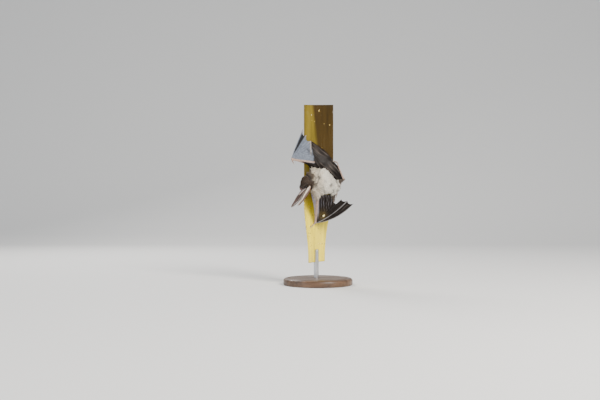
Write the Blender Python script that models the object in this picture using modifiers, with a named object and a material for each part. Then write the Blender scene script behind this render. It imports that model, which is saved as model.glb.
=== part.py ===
"""Brown long-eared bat caught on a sticky paper ribbon: a still, life-size museum model.

The bat lies belly forward (-Y) on the ribbon, head to -X, tail to +X, with both wings half open.
The ribbon stands in a slotted rod on a round base. Origin: middle of the base's underside, +Z up.
Places are given in millimetres and turned into metres where a mesh is made.
"""

import math

import bmesh
import bpy
from mathutils import Matrix, Vector

MM = 0.001
GAP = 0.3  # clearance between pieces that meet

# ---------------------------------------------------------------- driving sizes, in millimetres
HEAD_LENGTH = 18.0
EAR_LENGTH = 36.0
EAR_WIDTH = 19.0
TRAGUS_LENGTH = 15.0
EYE_RADIUS = 1.15
FOREARM_LENGTH = 38.0
THUMB_LENGTH = 6.0
WEB_HALF = 0.3  # half the thickness of a wing skin
BONE_HALF = 0.6  # half the thickness of a finger in it
FEMUR_LENGTH = 16.0
SHIN_LENGTH = 20.0
FOOT_LENGTH = 5.0
TOE_LENGTH = 4.2
RIBBON_WIDTH = 39.0
RIBBON_HALF = 0.35
RIBBON_HOLLOW = 1.7  # how far its edges curl forward of its middle
RIBBON_FOOT = 30.0
RIBBON_TOP = 239.0
BASE_RADIUS = 46.0
BASE_HEIGHT = 9.0
ROD_RADIUS = 3.2
ROD_TOP = 47.0


def place(x, y, z):
    return Vector((x, y, z))


def along(start, length, towards):
    """The end of a bone of this length that leaves start in the direction towards."""
    return start + towards.normalized() * length


# ---------------------------------------------------------------- places on the body
NECK = place(-6.0, -11.5, 138.2)
RUMP = place(23.6, -7.5, 128.9)
NAPE = place(-12.4, -12.8, 139.2)
HEAD_FRONT = place(-0.58, -0.16, -0.80).normalized()
HEAD_UP = place(0.74, 0.25, -0.62)
HEAD_UP = (HEAD_UP - HEAD_FRONT * HEAD_UP.dot(HEAD_FRONT)).normalized()
HEAD_RIGHT = HEAD_FRONT.cross(HEAD_UP)

SHOULDER = {"left": place(-4.2, -9.5, 143.5), "right": place(-3.8, -11.5, 129.2)}
ELBOW = {"left": place(-6.4, -6.5, 161.0), "right": place(-0.7, -21.5, 115.4)}
WRIST = {
    "left": along(ELBOW["left"], FOREARM_LENGTH, place(-28.2, -25.0, 4.0)),
    "right": along(ELBOW["right"], FOREARM_LENGTH, place(-3.3, 16.8, -32.8)),
}
# Tips of the third, fourth and fifth fingers
TIPS = {
    "left": (place(-20.3, -2.0, 207.0), place(-15.6, -2.2, 198.6), place(-9.3, -2.6, 191.0)),
    "right": (place(46.4, -18.0, 107.6), place(38.2, -16.5, 111.6), place(30.4, -15.0, 113.6)),
}
HIP = {"left": place(20.6, -6.5, 132.6), "right": place(19.5, -5.5, 125.6)}
KNEE = {
    "left": along(HIP["left"], FEMUR_LENGTH, place(13.0, -6.0, 6.9)),
    "right": along(HIP["right"], FEMUR_LENGTH, place(0.4, -6.5, -13.4)),
}
ANKLE = {
    "left": along(KNEE["left"], SHIN_LENGTH, place(-7.4, 3.5, 18.4)),
    "right": along(KNEE["right"], SHIN_LENGTH, place(4.8, 14.4, 13.4)),
}
FOOT_WAY = {"left": place(-0.20, 0.20, 0.95), "right": place(0.18, -0.30, -0.93)}
TOES_WAY = {"left": place(-0.86, -0.05, 0.30), "right": place(-0.22, -0.40, -0.90)}
SOLE_WAY = {"left": place(-0.95, 0.1, -0.25), "right": place(-0.9, -0.1, -0.2)}
TAIL = (
    place(23.5, -7.0, 129.2),
    place(28.5, 0.5, 131.0),
    place(31.0, 11.0, 134.6),
    place(31.6, 23.0, 139.6),
    place(30.2, 35.5, 146.0),
)

# ---------------------------------------------------------------- scene and finishes
for old in list(bpy.data.objects):
    bpy.data.objects.remove(old, do_unlink=True)

MODEL = bpy.data.collections.new("long_eared_bat")
HELPERS = bpy.data.collections.new("cutters")
bpy.context.scene.collection.children.link(MODEL)
bpy.context.scene.collection.children.link(HELPERS)


def finish(name, colour, roughness, metallic=0.0):
    made = bpy.data.materials.new(name)
    made.use_nodes = True
    shader = made.node_tree.nodes["Principled BSDF"]
    shader.inputs["Base Color"].default_value = (*colour, 1.0)
    shader.inputs["Roughness"].default_value = roughness
    shader.inputs["Metallic"].default_value = metallic
    return made


PALE_FUR = finish("pale_fur", (0.72, 0.66, 0.56), 0.9)
BROWN_FUR = finish("brown_fur", (0.20, 0.13, 0.085), 0.9)
BARE_SKIN = finish("bare_skin", (0.33, 0.22, 0.18), 0.5)
WING_SKIN = finish("wing_skin", (0.07, 0.05, 0.045), 0.4)
EYE_BLACK = finish("eye_black", (0.01, 0.008, 0.007), 0.08)
CLAW_HORN = finish("claw_horn", (0.45, 0.36, 0.27), 0.35)
STICKY_PAPER = finish("sticky_paper", (0.62, 0.44, 0.07), 0.3)
STAND_WOOD = finish("stand_wood", (0.10, 0.06, 0.035), 0.45)
STAND_STEEL = finish("stand_steel", (0.55, 0.55, 0.56), 0.3, 1.0)


# ---------------------------------------------------------------- shape tools
CLEARANCE = {}  # for each finished piece, its whole shape grown by GAP, to cut neighbours with


def add_piece(name, shell, material, collection=None, halves=None):
    """A bmesh in millimetres, made a named object in metres. halves makes an open skin closed:
    for each of its points, half the thickness that Solidify gives it there."""
    if halves is None:
        bmesh.ops.recalc_face_normals(shell, faces=shell.faces)
    bmesh.ops.scale(shell, vec=(MM, MM, MM), verts=shell.verts)
    mesh = bpy.data.meshes.new(name)
    shell.to_mesh(mesh)
    shell.free()
    mesh.materials.append(material)
    made = bpy.data.objects.new(name, mesh)
    (collection or MODEL).objects.link(made)
    if halves is not None:
        thickness = made.vertex_groups.new(name="thickness")
        for index, half in enumerate(halves):
            thickness.add([index], half / max(halves), "REPLACE")
        wall = made.modifiers.new("wall", "SOLIDIFY")
        wall.thickness = 2 * max(halves) * MM
        wall.offset = 0.0
        wall.vertex_group = thickness.name
        bake(made)
    made.data.shade_smooth()
    made.data.set_sharp_from_angle(angle=math.radians(50))
    if collection is None:
        CLEARANCE[name] = swollen(made, GAP)
    return made


def curve_through(points, count):
    """count points, evenly spaced in parameter, on a smooth curve through these."""
    stretched = [points[0] * 2 - points[1], *points, points[-1] * 2 - points[-2]]
    spans = len(points) - 1
    made = []
    for i in range(count):
        t = spans * i / (count - 1)
        k = min(int(t), spans - 1)
        t -= k
        a, b, c, d = stretched[k : k + 4]
        made.append(
            (b * 2 + (c - a) * t + (a * 2 - b * 5 + c * 4 - d) * t * t
             + (b * 3 - a - c * 3 + d) * t * t * t) / 2
        )
    return made


def value_at(stations, t):
    """Smooth value, from 0 to 1 along stations that are evenly spaced."""
    scaled = t * (len(stations) - 1)
    k = min(int(scaled), len(stations) - 2)
    share = scaled - k
    share = share * share * (3 - 2 * share)
    return stations[k] * (1 - share) + stations[k + 1] * share


def loft(rings):
    """Closed body through rings of equally many points, each end closed by a fan."""
    shell = bmesh.new()
    loops = [[shell.verts.new(p) for p in ring] for ring in rings]
    for lower, upper in zip(loops, loops[1:]):
        for i in range(len(lower)):
            j = (i + 1) % len(lower)
            shell.faces.new((lower[i], lower[j], upper[j], upper[i]))
    for loop in (loops[0], loops[-1]):
        middle = shell.verts.new(sum((v.co for v in loop), Vector()) / len(loop))
        for i in range(len(loop)):
            shell.faces.new((loop[i], loop[(i + 1) % len(loop)], middle))
    return shell


def limb(path, widths, up=Vector((0, 1, 0)), heights=None, sides=10, round_ends=True):
    """Lofted tube along path. widths and heights are half-sizes across it and along up."""
    heights = heights or widths
    last = len(path) - 1
    rings = []

    def ring(centre, forward, half_width, half_height):
        across = forward.cross(up).normalized()
        upward = across.cross(forward).normalized()
        return [
            centre
            + across * half_width * math.cos(2 * math.pi * k / sides)
            + upward * half_height * math.sin(2 * math.pi * k / sides)
            for k in range(sides)
        ]

    for i, centre in enumerate(path):
        t = i / last
        forward = (path[min(i + 1, last)] - path[max(i - 1, 0)]).normalized()
        half_width = value_at(widths, t)
        half_height = value_at(heights, t)
        reach = min(half_width, half_height)
        cap = (forward, half_width * 0.55, half_height * 0.55)
        if round_ends and i == 0:
            rings.append(ring(centre - forward * reach * 0.75, *cap))
        rings.append(ring(centre, forward, half_width, half_height))
        if round_ends and i == last:
            rings.append(ring(centre + forward * reach * 0.75, *cap))
    return loft(rings)


def add_web(name, point, columns, rows, material, half=lambda t, v: WEB_HALF):
    """A thin skin over point(t, v), t and v from 0 to 1, that is half(t, v) thick to each side."""
    shell = bmesh.new()
    bmesh.ops.create_grid(shell, x_segments=columns, y_segments=rows, size=0.5)
    halves = []
    for corner in shell.verts:
        t, v = corner.co.x + 0.5, corner.co.y + 0.5
        halves.append(half(t, v))
        corner.co = point(t, v)
    return add_piece(name, shell, material, halves=halves)


def patch(side_a, side_b, end_0, end_1):
    """Surface between four smooth edges: a and b run with t, the two ends run from a to b."""

    def point(t, v):
        ruled = side_a(t) * (1 - v) + side_b(t) * v
        ends = end_0(v) * (1 - t) + end_1(v) * t
        start = side_a(0).lerp(side_b(0), v)
        finish_line = side_a(1).lerp(side_b(1), v)
        return ruled + ends - start.lerp(finish_line, t)

    return point


def edge(*points, sag=Vector((0, 0, 0))):
    """A smooth edge through points, as a function of 0 to 1, with its middle moved by sag."""
    fine = curve_through(list(points), 33) if len(points) > 2 else None

    def at(t):
        if fine is None:
            spot = points[0].lerp(points[1], t)
        else:
            k = min(int(t * 32), 31)
            spot = fine[k].lerp(fine[k + 1], t * 32 - k)
        return spot + sag * (4 * t * (1 - t))

    return at


def bake(piece):
    """Makes a piece's modifiers part of its mesh and keeps its one main body."""
    bpy.context.view_layer.update()
    graph = bpy.context.evaluated_depsgraph_get()
    mesh = bpy.data.meshes.new_from_object(piece.evaluated_get(graph))
    piece.modifiers.clear()
    shell = bmesh.new()
    shell.from_mesh(mesh)
    bmesh.ops.remove_doubles(shell, verts=shell.verts, dist=0.02 * MM)
    bmesh.ops.dissolve_degenerate(shell, edges=shell.edges, dist=0.01 * MM)
    bmesh.ops.recalc_face_normals(shell, faces=shell.faces)
    unseen = set(shell.verts)
    bodies = []
    while unseen:
        front = [unseen.pop()]
        body = set(front)
        while front:
            for joined in front.pop().link_edges:
                for end in joined.verts:
                    if end in unseen:
                        unseen.discard(end)
                        body.add(end)
                        front.append(end)
        bodies.append(body)
    bodies.sort(key=len)
    for crumb in bodies[:-1]:
        bmesh.ops.delete(shell, geom=list(crumb), context="VERTS")
    shell.to_mesh(mesh)
    shell.free()
    piece.data = mesh


def combine(piece, others, operation):
    for other in others:
        cut = piece.modifiers.new(operation.lower(), "BOOLEAN")
        cut.operation = operation
        cut.object = other
        bake(piece)


def swollen(source, by):
    """A helper that is source grown by this much all round."""
    shell = bmesh.new()
    shell.from_mesh(source.data)
    shell.normal_update()
    moves = [(v, v.normal * min(v.calc_shell_factor(), 2.5) * by * MM) for v in shell.verts]
    for v, move in moves:
        v.co += move
    mesh = bpy.data.meshes.new(source.name + "_cutter")
    shell.to_mesh(mesh)
    shell.free()
    grown = bpy.data.objects.new(source.name + "_cutter", mesh)
    grown.hide_render = True
    grown.display_type = "WIRE"
    HELPERS.objects.link(grown)
    return grown


def make_room(piece, *neighbours):
    """Cuts piece back to GAP from each neighbour that it meets."""
    combine(piece, [CLEARANCE[n.name] for n in neighbours], "DIFFERENCE")


# ---------------------------------------------------------------- stand and ribbon
def make_ribbon():
    """Stiff paper strip: flat and full-face at the top, turning edge-on towards its foot."""
    straight_from = 119.0
    most_turn = math.radians(56)

    def point(t, v):
        z = RIBBON_TOP + (RIBBON_FOOT - RIBBON_TOP) * t
        share = min(1.0, max(0.0, (straight_from - z) / (straight_from - RIBBON_FOOT)))
        turn = most_turn * (1 - (1 - share) ** 2.2)
        centre_x = 0.8 - 3.4 * math.sin(math.pi / 2 * min(1.0, share * 1.6))
        across = (v - 0.5) * RIBBON_WIDTH
        hollow = RIBBON_HOLLOW * (0.36 - (2 * v - 1) ** 2)
        return place(
            centre_x + across * math.cos(turn) - hollow * math.sin(turn),
            across * math.sin(turn) + hollow * math.cos(turn),
            z,
        )

    return add_web("ribbon_perch", point, 23, 6, STICKY_PAPER, half=lambda t, v: RIBBON_HALF)


def make_base():
    """Turned round base with softened rims."""
    shell = bmesh.new()
    bmesh.ops.create_cone(
        shell, cap_ends=True, segments=40, radius1=BASE_RADIUS, radius2=BASE_RADIUS, depth=BASE_HEIGHT,
        matrix=Matrix.Translation((0, 0, BASE_HEIGHT / 2)),
    )
    rims = [e for e in shell.edges if abs(e.verts[0].co.z - e.verts[1].co.z) < 0.1]
    bmesh.ops.bevel(shell, geom=rims, offset=1.4, offset_type="OFFSET", segments=2, profile=0.5,
                    affect="EDGES", material=-1)
    return add_piece("stand_base", shell, STAND_WOOD)


def make_rod():
    """Upright rod, slotted at the top for the ribbon's lower end."""
    shell = bmesh.new()
    bmesh.ops.create_cone(
        shell, cap_ends=True, segments=20, radius1=ROD_RADIUS, radius2=ROD_RADIUS,
        depth=ROD_TOP - BASE_HEIGHT - GAP,
        matrix=Matrix.Translation((-2.3, 0.0, (ROD_TOP + BASE_HEIGHT + GAP) / 2)),
    )
    return add_piece("stand_rod", shell, STAND_STEEL)


# ---------------------------------------------------------------- trunk, neck and head
def make_trunk():
    """Furred body from shoulders to rump: broad, and flat where the back lies on the ribbon."""
    half_widths = (13.5, 16.4, 16.2, 14.6, 12.1, 9.6, 6.2)
    half_depths = (8.0, 9.8, 10.6, 10.6, 9.8, 8.2, 5.6)
    rises = (0.2, 0.9, 1.1, 0.6, -0.1, -0.4, -0.2)
    count = 12
    sides = 20
    way = (RUMP - NECK).normalized()
    lateral = way.cross(Vector((0, 1, 0))).normalized()
    rings = []
    for i in range(count):
        t = i / (count - 1)
        half_width = value_at(half_widths, t)
        half_depth = value_at(half_depths, t)
        centre = NECK.lerp(RUMP, t)
        centre.y = -2.1 - half_depth * 0.92 + 1.0 * t ** 6
        centre.z += value_at(rises, t)
        rings.append([
            centre
            + lateral * half_width * math.cos(a)
            + Vector((0, 1, 0)) * half_depth * math.sin(a) * (0.86 if math.sin(a) > 0 else 1.0)
            for a in (2 * math.pi * k / sides for k in range(sides))
        ])

    def shrunk(ring, share, reach):
        middle = sum(ring, Vector()) / sides
        return [middle + (p - middle) * share + way * reach for p in ring]

    first, last = rings[0], rings[-1]
    rings = [shrunk(first, 0.5, -2.4), shrunk(first, 0.85, -1.4), *rings]
    rings += [shrunk(last, 0.8, 1.7), shrunk(last, 0.42, 2.8)]
    return add_piece("trunk", loft(rings), PALE_FUR)


def make_neck():
    """A short furred ball, widest across the head's height, that fills in between shoulders and nape."""
    centre = NECK.lerp(NAPE, 0.66) + place(0, 0, 0.8)
    turn = Matrix((HEAD_FRONT, HEAD_RIGHT, HEAD_UP)).transposed().to_4x4()
    size = Matrix.Diagonal((7.4, 8.2, 10.4, 1.0))
    shell = bmesh.new()
    bmesh.ops.create_uvsphere(
        shell, u_segments=18, v_segments=12, radius=1.0,
        matrix=Matrix.Translation(centre) @ turn @ size,
    )
    return add_piece("neck", shell, BROWN_FUR)


def head_point(forward, upward, right):
    return NAPE + HEAD_FRONT * forward + HEAD_UP * upward + HEAD_RIGHT * right


def make_head():
    """Broad domed skull with a short, swollen muzzle, closed mouth and a blunt nose."""
    # distance from the nape, height of the centre, half width, half height over and under it
    stations = (
        (0.4, 0.0, 5.6, 6.2, 5.9),
        (2.0, 0.2, 7.0, 7.8, 7.3),
        (4.2, 0.3, 7.7, 8.4, 7.9),
        (6.6, 0.2, 7.6, 8.1, 7.7),
        (8.8, -0.2, 6.8, 6.9, 6.9),
        (10.6, -0.6, 5.7, 5.5, 5.8),
        (12.3, -1.0, 4.9, 4.1, 4.4),
        (14.0, -1.2, 4.5, 3.4, 3.6),
        (15.6, -1.3, 4.0, 2.8, 2.9),
        (16.9, -1.2, 3.1, 2.2, 2.1),
        (HEAD_LENGTH - 0.4, -1.1, 1.8, 1.4, 1.2),
    )
    sides = 16
    rings = []
    for forward, centre, half_width, over, under in stations:
        ring = []
        for k in range(sides):
            a = 2 * math.pi * k / sides
            rise = math.sin(a) * (over if math.sin(a) > 0 else under)
            ring.append(head_point(forward, centre + rise, half_width * math.cos(a)))
        rings.append(ring)
    return add_piece("head", loft(rings), BROWN_FUR)


def make_eye(side):
    sign = 1 if side == "right" else -1
    shell = bmesh.new()
    bmesh.ops.create_uvsphere(
        shell, u_segments=9, v_segments=6, radius=EYE_RADIUS,
        matrix=Matrix.Translation(head_point(11.2, 1.3, 4.75 * sign)),
    )
    return add_piece("eye_" + side, shell, EYE_BLACK)


EAR_WAY = {"right": place(-17.7, -19.0, -25.0).normalized(), "left": place(-23.0, -3.0, -27.0).normalized()}
EAR_BACK = {"right": place(0.90, 0.12, -0.42), "left": place(0.83, 0.32, -0.45)}


def ear_frame(side):
    """Base, length direction, across direction and the direction that the ear's back faces."""
    sign = 1 if side == "right" else -1
    base = head_point(6.6, 6.2, 4.9 * sign)
    way = EAR_WAY[side]
    back = EAR_BACK[side]
    back = (back - way * back.dot(way)).normalized()
    return base, way, way.cross(back), back


def make_ear(side):
    """Long thin conch, rolled at its root and opening out to a rounded tip."""
    base, way, across, back = ear_frame(side)
    half_widths = (6.9, 8.0, 9.1, EAR_WIDTH / 2, 9.2, 8.2, 6.4, 3.4)
    half_angles = (1.62, 1.45, 1.25, 1.08, 0.95, 0.8, 0.65, 0.5)

    def point(t, v):
        half_width = value_at(half_widths, t)
        half_angle = value_at(half_angles, t)
        radius = half_width / half_angle
        angle = (2 * v - 1) * half_angle
        length = EAR_LENGTH * t - 3.0 * (2 * v - 1) ** 2 * max(0.0, t - 0.45) * 2.0
        hollow = back * (radius * math.cos(angle) - radius * 0.55)
        lean = back * (-2.2 * math.sin(t * math.pi * 0.5) ** 2)
        return base + way * length + across * radius * math.sin(angle) + hollow + lean

    return add_web("ear_" + side, point, 10, 7, BARE_SKIN, half=lambda t, v: 0.42 - 0.1 * t)


def make_tragus(side):
    """Narrow upright lobe standing in the mouth of the ear."""
    base, way, across, back = ear_frame(side)
    half_widths = (1.7, 2.5, 2.5, 2.0, 1.4, 0.9)

    def point(t, v):
        half_width = value_at(half_widths, t)
        foot = base + way * (1.8 + TRAGUS_LENGTH * t) - back * (0.5 + 1.6 * t)
        return foot + across * half_width * (2 * v - 1) - back * 0.5 * (2 * v - 1) ** 2

    return add_web("tragus_" + side, point, 6, 3, BARE_SKIN, half=lambda t, v: 0.36)


# ---------------------------------------------------------------- wings
def make_upper_arm(side):
    path = curve_through([SHOULDER[side], SHOULDER[side].lerp(ELBOW[side], 0.5), ELBOW[side]], 6)
    widths = (7.0, 6.4, 5.0, 3.2)
    shell = limb(path[:-1] + [path[-2].lerp(path[-1], 0.55)], widths, sides=12)
    return add_piece("upper_arm_" + side, shell, PALE_FUR)


def make_forearm(side):
    path = [ELBOW[side].lerp(WRIST[side], t) for t in (0.0, 0.12, 0.3, 0.5, 0.7, 0.88, 0.985)]
    shell = limb(path, (1.7, 1.8, 1.5, 1.25, 1.15, 1.2, 1.5), sides=8)
    return add_piece("forearm_" + side, shell, BARE_SKIN)


THUMB_WAY = {"left": place(0.25, 0.80, -0.50), "right": place(-0.55, -0.62, -0.50)}
THUMB_HOOK = {"left": place(0.6, -0.2, -0.8), "right": place(0.3, -0.2, -0.9)}


def thumb_points(side):
    start = WRIST[side] + THUMB_WAY[side].normalized() * 2.4
    tip = start + THUMB_WAY[side].normalized() * THUMB_LENGTH
    return start, tip


def make_thumb(side):
    start, tip = thumb_points(side)
    path = curve_through([start, start.lerp(tip, 0.5) + place(0, -0.3, 0), tip], 5)
    shell = limb(path, (0.95, 0.7, 0.75), sides=7)
    return add_piece("thumb_" + side, shell, BARE_SKIN)


def make_claw(name, root, way, hook, length, half):
    """A small horn hook that leaves root along way and bends towards hook."""
    way, hook = way.normalized(), hook.normalized()
    path = [root + way * length * s + hook * length * 0.55 * s * s for s in (0.0, 0.35, 0.7, 1.0)]
    shell = limb(path, (half, half * 0.85, half * 0.55, half * 0.3), sides=5, up=hook, round_ends=False)
    return add_piece(name, shell, CLAW_HORN)


def finger_roots(side):
    """Where fingers three to five leave the wrist, side by side."""
    spread = (TIPS[side][0] - TIPS[side][2]).normalized() * 1.6
    start = WRIST[side] + (TIPS[side][1] - WRIST[side]).normalized() * 1.2
    return start + spread, start, start - spread


# How far fingers three to five bow out of the straight line, and how deep the skin's free edge dips
FINGER_BOW = {
    "left": (place(0, -1.6, 0), place(0, -1.6, 0), place(0, -1.6, 0)),
    "right": (place(2.2, -1.2, -4.2), place(1.2, -1.2, -2.6), place(0, -1.2, -0.6)),
}
SCALLOP = {"left": 0.14, "right": 0.05}


def make_hand_wing(side):
    """Fingers three to five and the skin between them, as one fan that leaves the wrist."""
    tips = TIPS[side]
    normal = (tips[0] - WRIST[side]).cross(tips[2] - WRIST[side]).normalized()
    fingers = [edge(*ends, sag=bow) for *ends, bow in zip(finger_roots(side), tips, FINGER_BOW[side])]
    # Across the fan: the finger before a column, and how far the column lies towards the next one
    columns = [(0, "bone"), (0, "beside"), (0, 0.36), (0, 0.64), (0, "before"), (1, "bone"),
               (1, "beside"), (1, 0.36), (1, 0.64), (1, "before"), (2, "bone")]
    billow = -1.4 if side == "left" else 1.2

    def point(t, v):
        finger, share = columns[round(v * (len(columns) - 1))]
        after = min(finger + 1, 2)
        width = (fingers[after](t) - fingers[finger](t)).length
        if share in ("bone", "beside", "before"):
            near = min(0.25, 0.95 / width) if width else 0.0
            share = {"bone": 0.0, "beside": near, "before": 1.0 - near}[share]
        scallop = 1 - SCALLOP[side] * 4 * share * (1 - share) * t * t
        t = t * scallop
        flat = fingers[finger](t).lerp(fingers[after](t), share)
        return flat + normal * billow * 4 * share * (1 - share) * math.sin(math.pi * t)

    def half(t, v):
        kind = columns[round(v * (len(columns) - 1))][1]
        if kind == "bone":
            return max(0.42, BONE_HALF * (1.1 - 0.45 * t))
        return WEB_HALF

    return add_web("hand_wing_" + side, point, 9, len(columns) - 1, WING_SKIN, half)


def make_arm_wing(side):
    """Skin between arm, fifth finger, flank and leg; the right one hangs in pleats."""
    if side == "left":
        body = edge(ELBOW[side], place(-1.0, -7.6, 153.0), place(8.0, -6.6, 146.0), place(16.5, -6.4, 138.5),
                    HIP[side].lerp(KNEE[side], 0.45), KNEE[side].lerp(ANKLE[side], 0.1),
                    KNEE[side].lerp(ANKLE[side], 0.9))
        tail_points = (KNEE[side].lerp(ANKLE[side], 0.9), place(19.2, -3.4, 165.6), place(10.0, -3.2, 177.0))
        reach = 1.0
    else:
        body = edge(ELBOW[side], place(3.0, -16.0, 119.0), place(9.5, -11.5, 119.5), place(16.8, -9.4, 118.8))
        tail_points = (place(16.8, -9.4, 118.8), KNEE[side] + place(-0.9, -1.5, 0))
        reach = 0.8
    off = (ELBOW[side] - WRIST[side]).normalized() * 0.25
    off += (TIPS[side][2] - TIPS[side][0]).normalized() * (0.4 if side == "left" else 0.9)
    whole_finger = edge(finger_roots(side)[2] + off, TIPS[side][2] + off * 0.9, sag=FINGER_BOW[side][2])

    def finger(t):
        return whole_finger(t * reach)

    arm = edge(ELBOW[side], finger(0))
    tail_edge = edge(*tail_points, finger(1))
    surface = patch(body, finger, arm, tail_edge)

    def point(t, v):
        spot = surface(t, v)
        inside = math.sin(math.pi * t) * math.sin(math.pi * v)
        if side == "left":
            ripple = 0.8 * math.sin(t * 16.0 + v * 3.0) * inside
            return spot + place(0.0, ripple - 1.0 * inside, 0.6 * ripple)
        pleat = 1.2 * math.sin(t * 25.0) * (1 - v) * min(1.0, 9 * v + 0.1) * min(1.0, 5 * t * (1 - t) ** 1.5)
        return spot + place(0.35 * pleat, pleat - 1.0 * inside, 0.0)

    return add_web("arm_wing_" + side, point, 13 if side == "left" else 17, 7, WING_SKIN)


def make_fore_web(side):
    """Narrow skin in front of the elbow, from the shoulder to the wrist."""
    outer_end = WRIST[side].lerp(ELBOW[side], 0.14)
    if side == "left":
        lead = edge(place(-10.5, -12.0, 148.5), place(-13.0, -13.5, 158.0), outer_end + place(0, -0.4, -0.9))
    else:
        lead = edge(place(-9.4, -15.5, 120.0), place(-5.6, -13.5, 104.0), outer_end + place(-0.9, -0.4, 0))
    arm = edge(SHOULDER[side].lerp(ELBOW[side], 0.3), ELBOW[side], outer_end)

    def point(t, v):
        return lead(t).lerp(arm(t), v)

    return add_web("fore_web_" + side, point, 10, 3, WING_SKIN)


# ---------------------------------------------------------------- legs and tail
def make_thigh(side):
    path = [HIP[side].lerp(KNEE[side], t) for t in (0.0, 0.25, 0.5, 0.75, 0.93)]
    shell = limb(path, (4.2, 3.5, 2.6, 1.9, 1.5), sides=9)
    return add_piece("thigh_" + side, shell, BROWN_FUR)


def make_shin(side):
    path = [KNEE[side].lerp(ANKLE[side], t) for t in (0.0, 0.12, 0.35, 0.65, 0.97)]
    shell = limb(path, (1.35, 1.25, 0.95, 0.75, 0.85), sides=8)
    return add_piece("shin_" + side, shell, BARE_SKIN)


def foot_frame(side):
    """Heel to toes, across the foot, and the way its upper side faces."""
    way = FOOT_WAY[side].normalized()
    across = SOLE_WAY[side].cross(way).normalized()
    return way, across, way.cross(across).normalized()


def toe_path(side, number):
    """Three points of toe number 0 to 4, fanned across the foot and bent towards the grip."""
    way, across, _ = foot_frame(side)
    shift = (number - 2) / 2
    bent = TOES_WAY[side].normalized()
    root = ANKLE[side] + way * (FOOT_LENGTH * 0.72) + across * shift * 1.3
    knuckle = root + (way + bent).normalized() * TOE_LENGTH * 0.45 + across * shift * 0.45
    return root, knuckle, knuckle + bent * TOE_LENGTH * 0.55 + across * shift * 0.4


def make_foot(side):
    """Narrow foot with five toes, joined into one body."""
    way, across, sole = foot_frame(side)
    start = ANKLE[side] + way * 0.4
    shell = limb(
        [start + way * FOOT_LENGTH * t for t in (0.0, 0.35, 0.75)], (0.95, 1.35, 1.95),
        up=sole, heights=(0.85, 0.8, 0.75), sides=8,
    )
    foot = add_piece("foot_" + side, shell, BARE_SKIN)
    toes = []
    for number in range(5):
        toe = limb(list(toe_path(side, number)), (0.46, 0.4, 0.42), up=across, sides=6)
        toes.append(add_piece(f"toe_{side}_{number}", toe, BARE_SKIN, HELPERS))
    combine(foot, toes, "UNION")
    for toe in toes:
        bpy.data.objects.remove(toe, do_unlink=True)
    return foot


def make_toe_claws(side):
    for number in range(5):
        root, knuckle, tip = toe_path(side, number)
        way = (tip - knuckle).normalized()
        hook = way - (knuckle - root).normalized()
        make_claw(f"claw_{side}_{number + 1}", tip + way * 0.6, way, hook, 1.9, 0.33)


TAIL_HALF = (1.7, 1.25, 1.0, 0.85, 0.7, 0.5)


def make_tail():
    """Tapering tail that curls back past the ribbon's edge."""
    path = curve_through(list(TAIL), 13)
    shell = limb(path, TAIL_HALF, up=Vector((0.3, 0, 1)), sides=7)
    return add_piece("tail", shell, BARE_SKIN)


def make_tail_web(side):
    """Skin between the tail and one leg, edged by the heel spur at its rear."""
    tail_axis = edge(*TAIL)
    joint = KNEE[side]
    leg_axis = edge(HIP[side].lerp(joint, 0.5), HIP[side].lerp(joint, 0.75), joint.lerp(ANKLE[side], 0.08),
                    joint.lerp(ANKLE[side], 0.45), joint.lerp(ANKLE[side], 0.78))
    spur = place(2.5, 3.0, -3.0) if side == "left" else place(1.5, 2.5, -1.5)

    def tail_side(t):
        spot = tail_axis(0.14 + 0.76 * t)
        return spot + (leg_axis(t) - spot).normalized() * (value_at(TAIL_HALF, 0.14 + 0.76 * t) + 0.9)

    def leg_side(t):
        spot = leg_axis(t)
        inward = (tail_axis(0.14 + 0.76 * t) - spot).normalized()
        return spot + inward * (value_at((2.7, 2.0, 1.3, 0.95, 0.8), t) + 0.9)

    surface = patch(tail_side, leg_side, edge(tail_side(0), leg_side(0)),
                    edge(tail_side(1), leg_side(1), sag=-spur))

    def point(t, v):
        inside = math.sin(math.pi * t) * math.sin(math.pi * v)
        return surface(t, v) + place(1.2, 0.0, 0.8) * inside

    def half(t, v):
        return 0.42 if t > 0.93 and v > 0.55 else WEB_HALF

    return add_web("tail_web_" + side, point, 9, 6, WING_SKIN, half)


# ---------------------------------------------------------------- assembly, from the core outwards
SIDES = ("left", "right")

ribbon = make_ribbon()
make_base()
rod = make_rod()
make_room(rod, ribbon)

trunk = make_trunk()
neck = make_neck()
make_room(neck, trunk)
head = make_head()
make_room(head, neck, trunk)
eyes = {side: make_eye(side) for side in SIDES}
make_room(head, *eyes.values())

ears = []
for side in SIDES:
    ear = make_ear(side)
    make_room(ear, head, neck, trunk)
    tragus = make_tragus(side)
    make_room(tragus, head, ear)
    ears += [ear, tragus]

tail = make_tail()
make_room(tail, trunk)

for side in SIDES:
    upper_arm = make_upper_arm(side)
    make_room(upper_arm, head, neck, trunk, *ears)
    forearm = make_forearm(side)
    make_room(forearm, upper_arm)
    hand_wing = make_hand_wing(side)
    make_room(hand_wing, forearm)
    thumb = make_thumb(side)
    make_room(thumb, forearm)
    make_claw("claw_thumb_" + side, thumb_points(side)[1] + THUMB_WAY[side].normalized() * 0.85,
              THUMB_WAY[side], THUMB_HOOK[side], 2.2, 0.45)
    thigh = make_thigh(side)
    make_room(thigh, trunk)
    shin = make_shin(side)
    make_room(shin, thigh)
    foot = make_foot(side)
    make_room(foot, shin)
    make_toe_claws(side)
    arm_wing = make_arm_wing(side)
    make_room(arm_wing, trunk, upper_arm, forearm, thigh, shin)
    fore_web = make_fore_web(side)
    make_room(fore_web, trunk, neck, upper_arm, forearm)
    tail_web = make_tail_web(side)
    make_room(tail_web, tail, trunk, thigh, shin)

for helper in list(HELPERS.objects):
    bpy.data.objects.remove(helper, do_unlink=True)
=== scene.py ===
"""Brown long-eared bat on a sticky ribbon: the looks of the still museum model."""

import math

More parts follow.
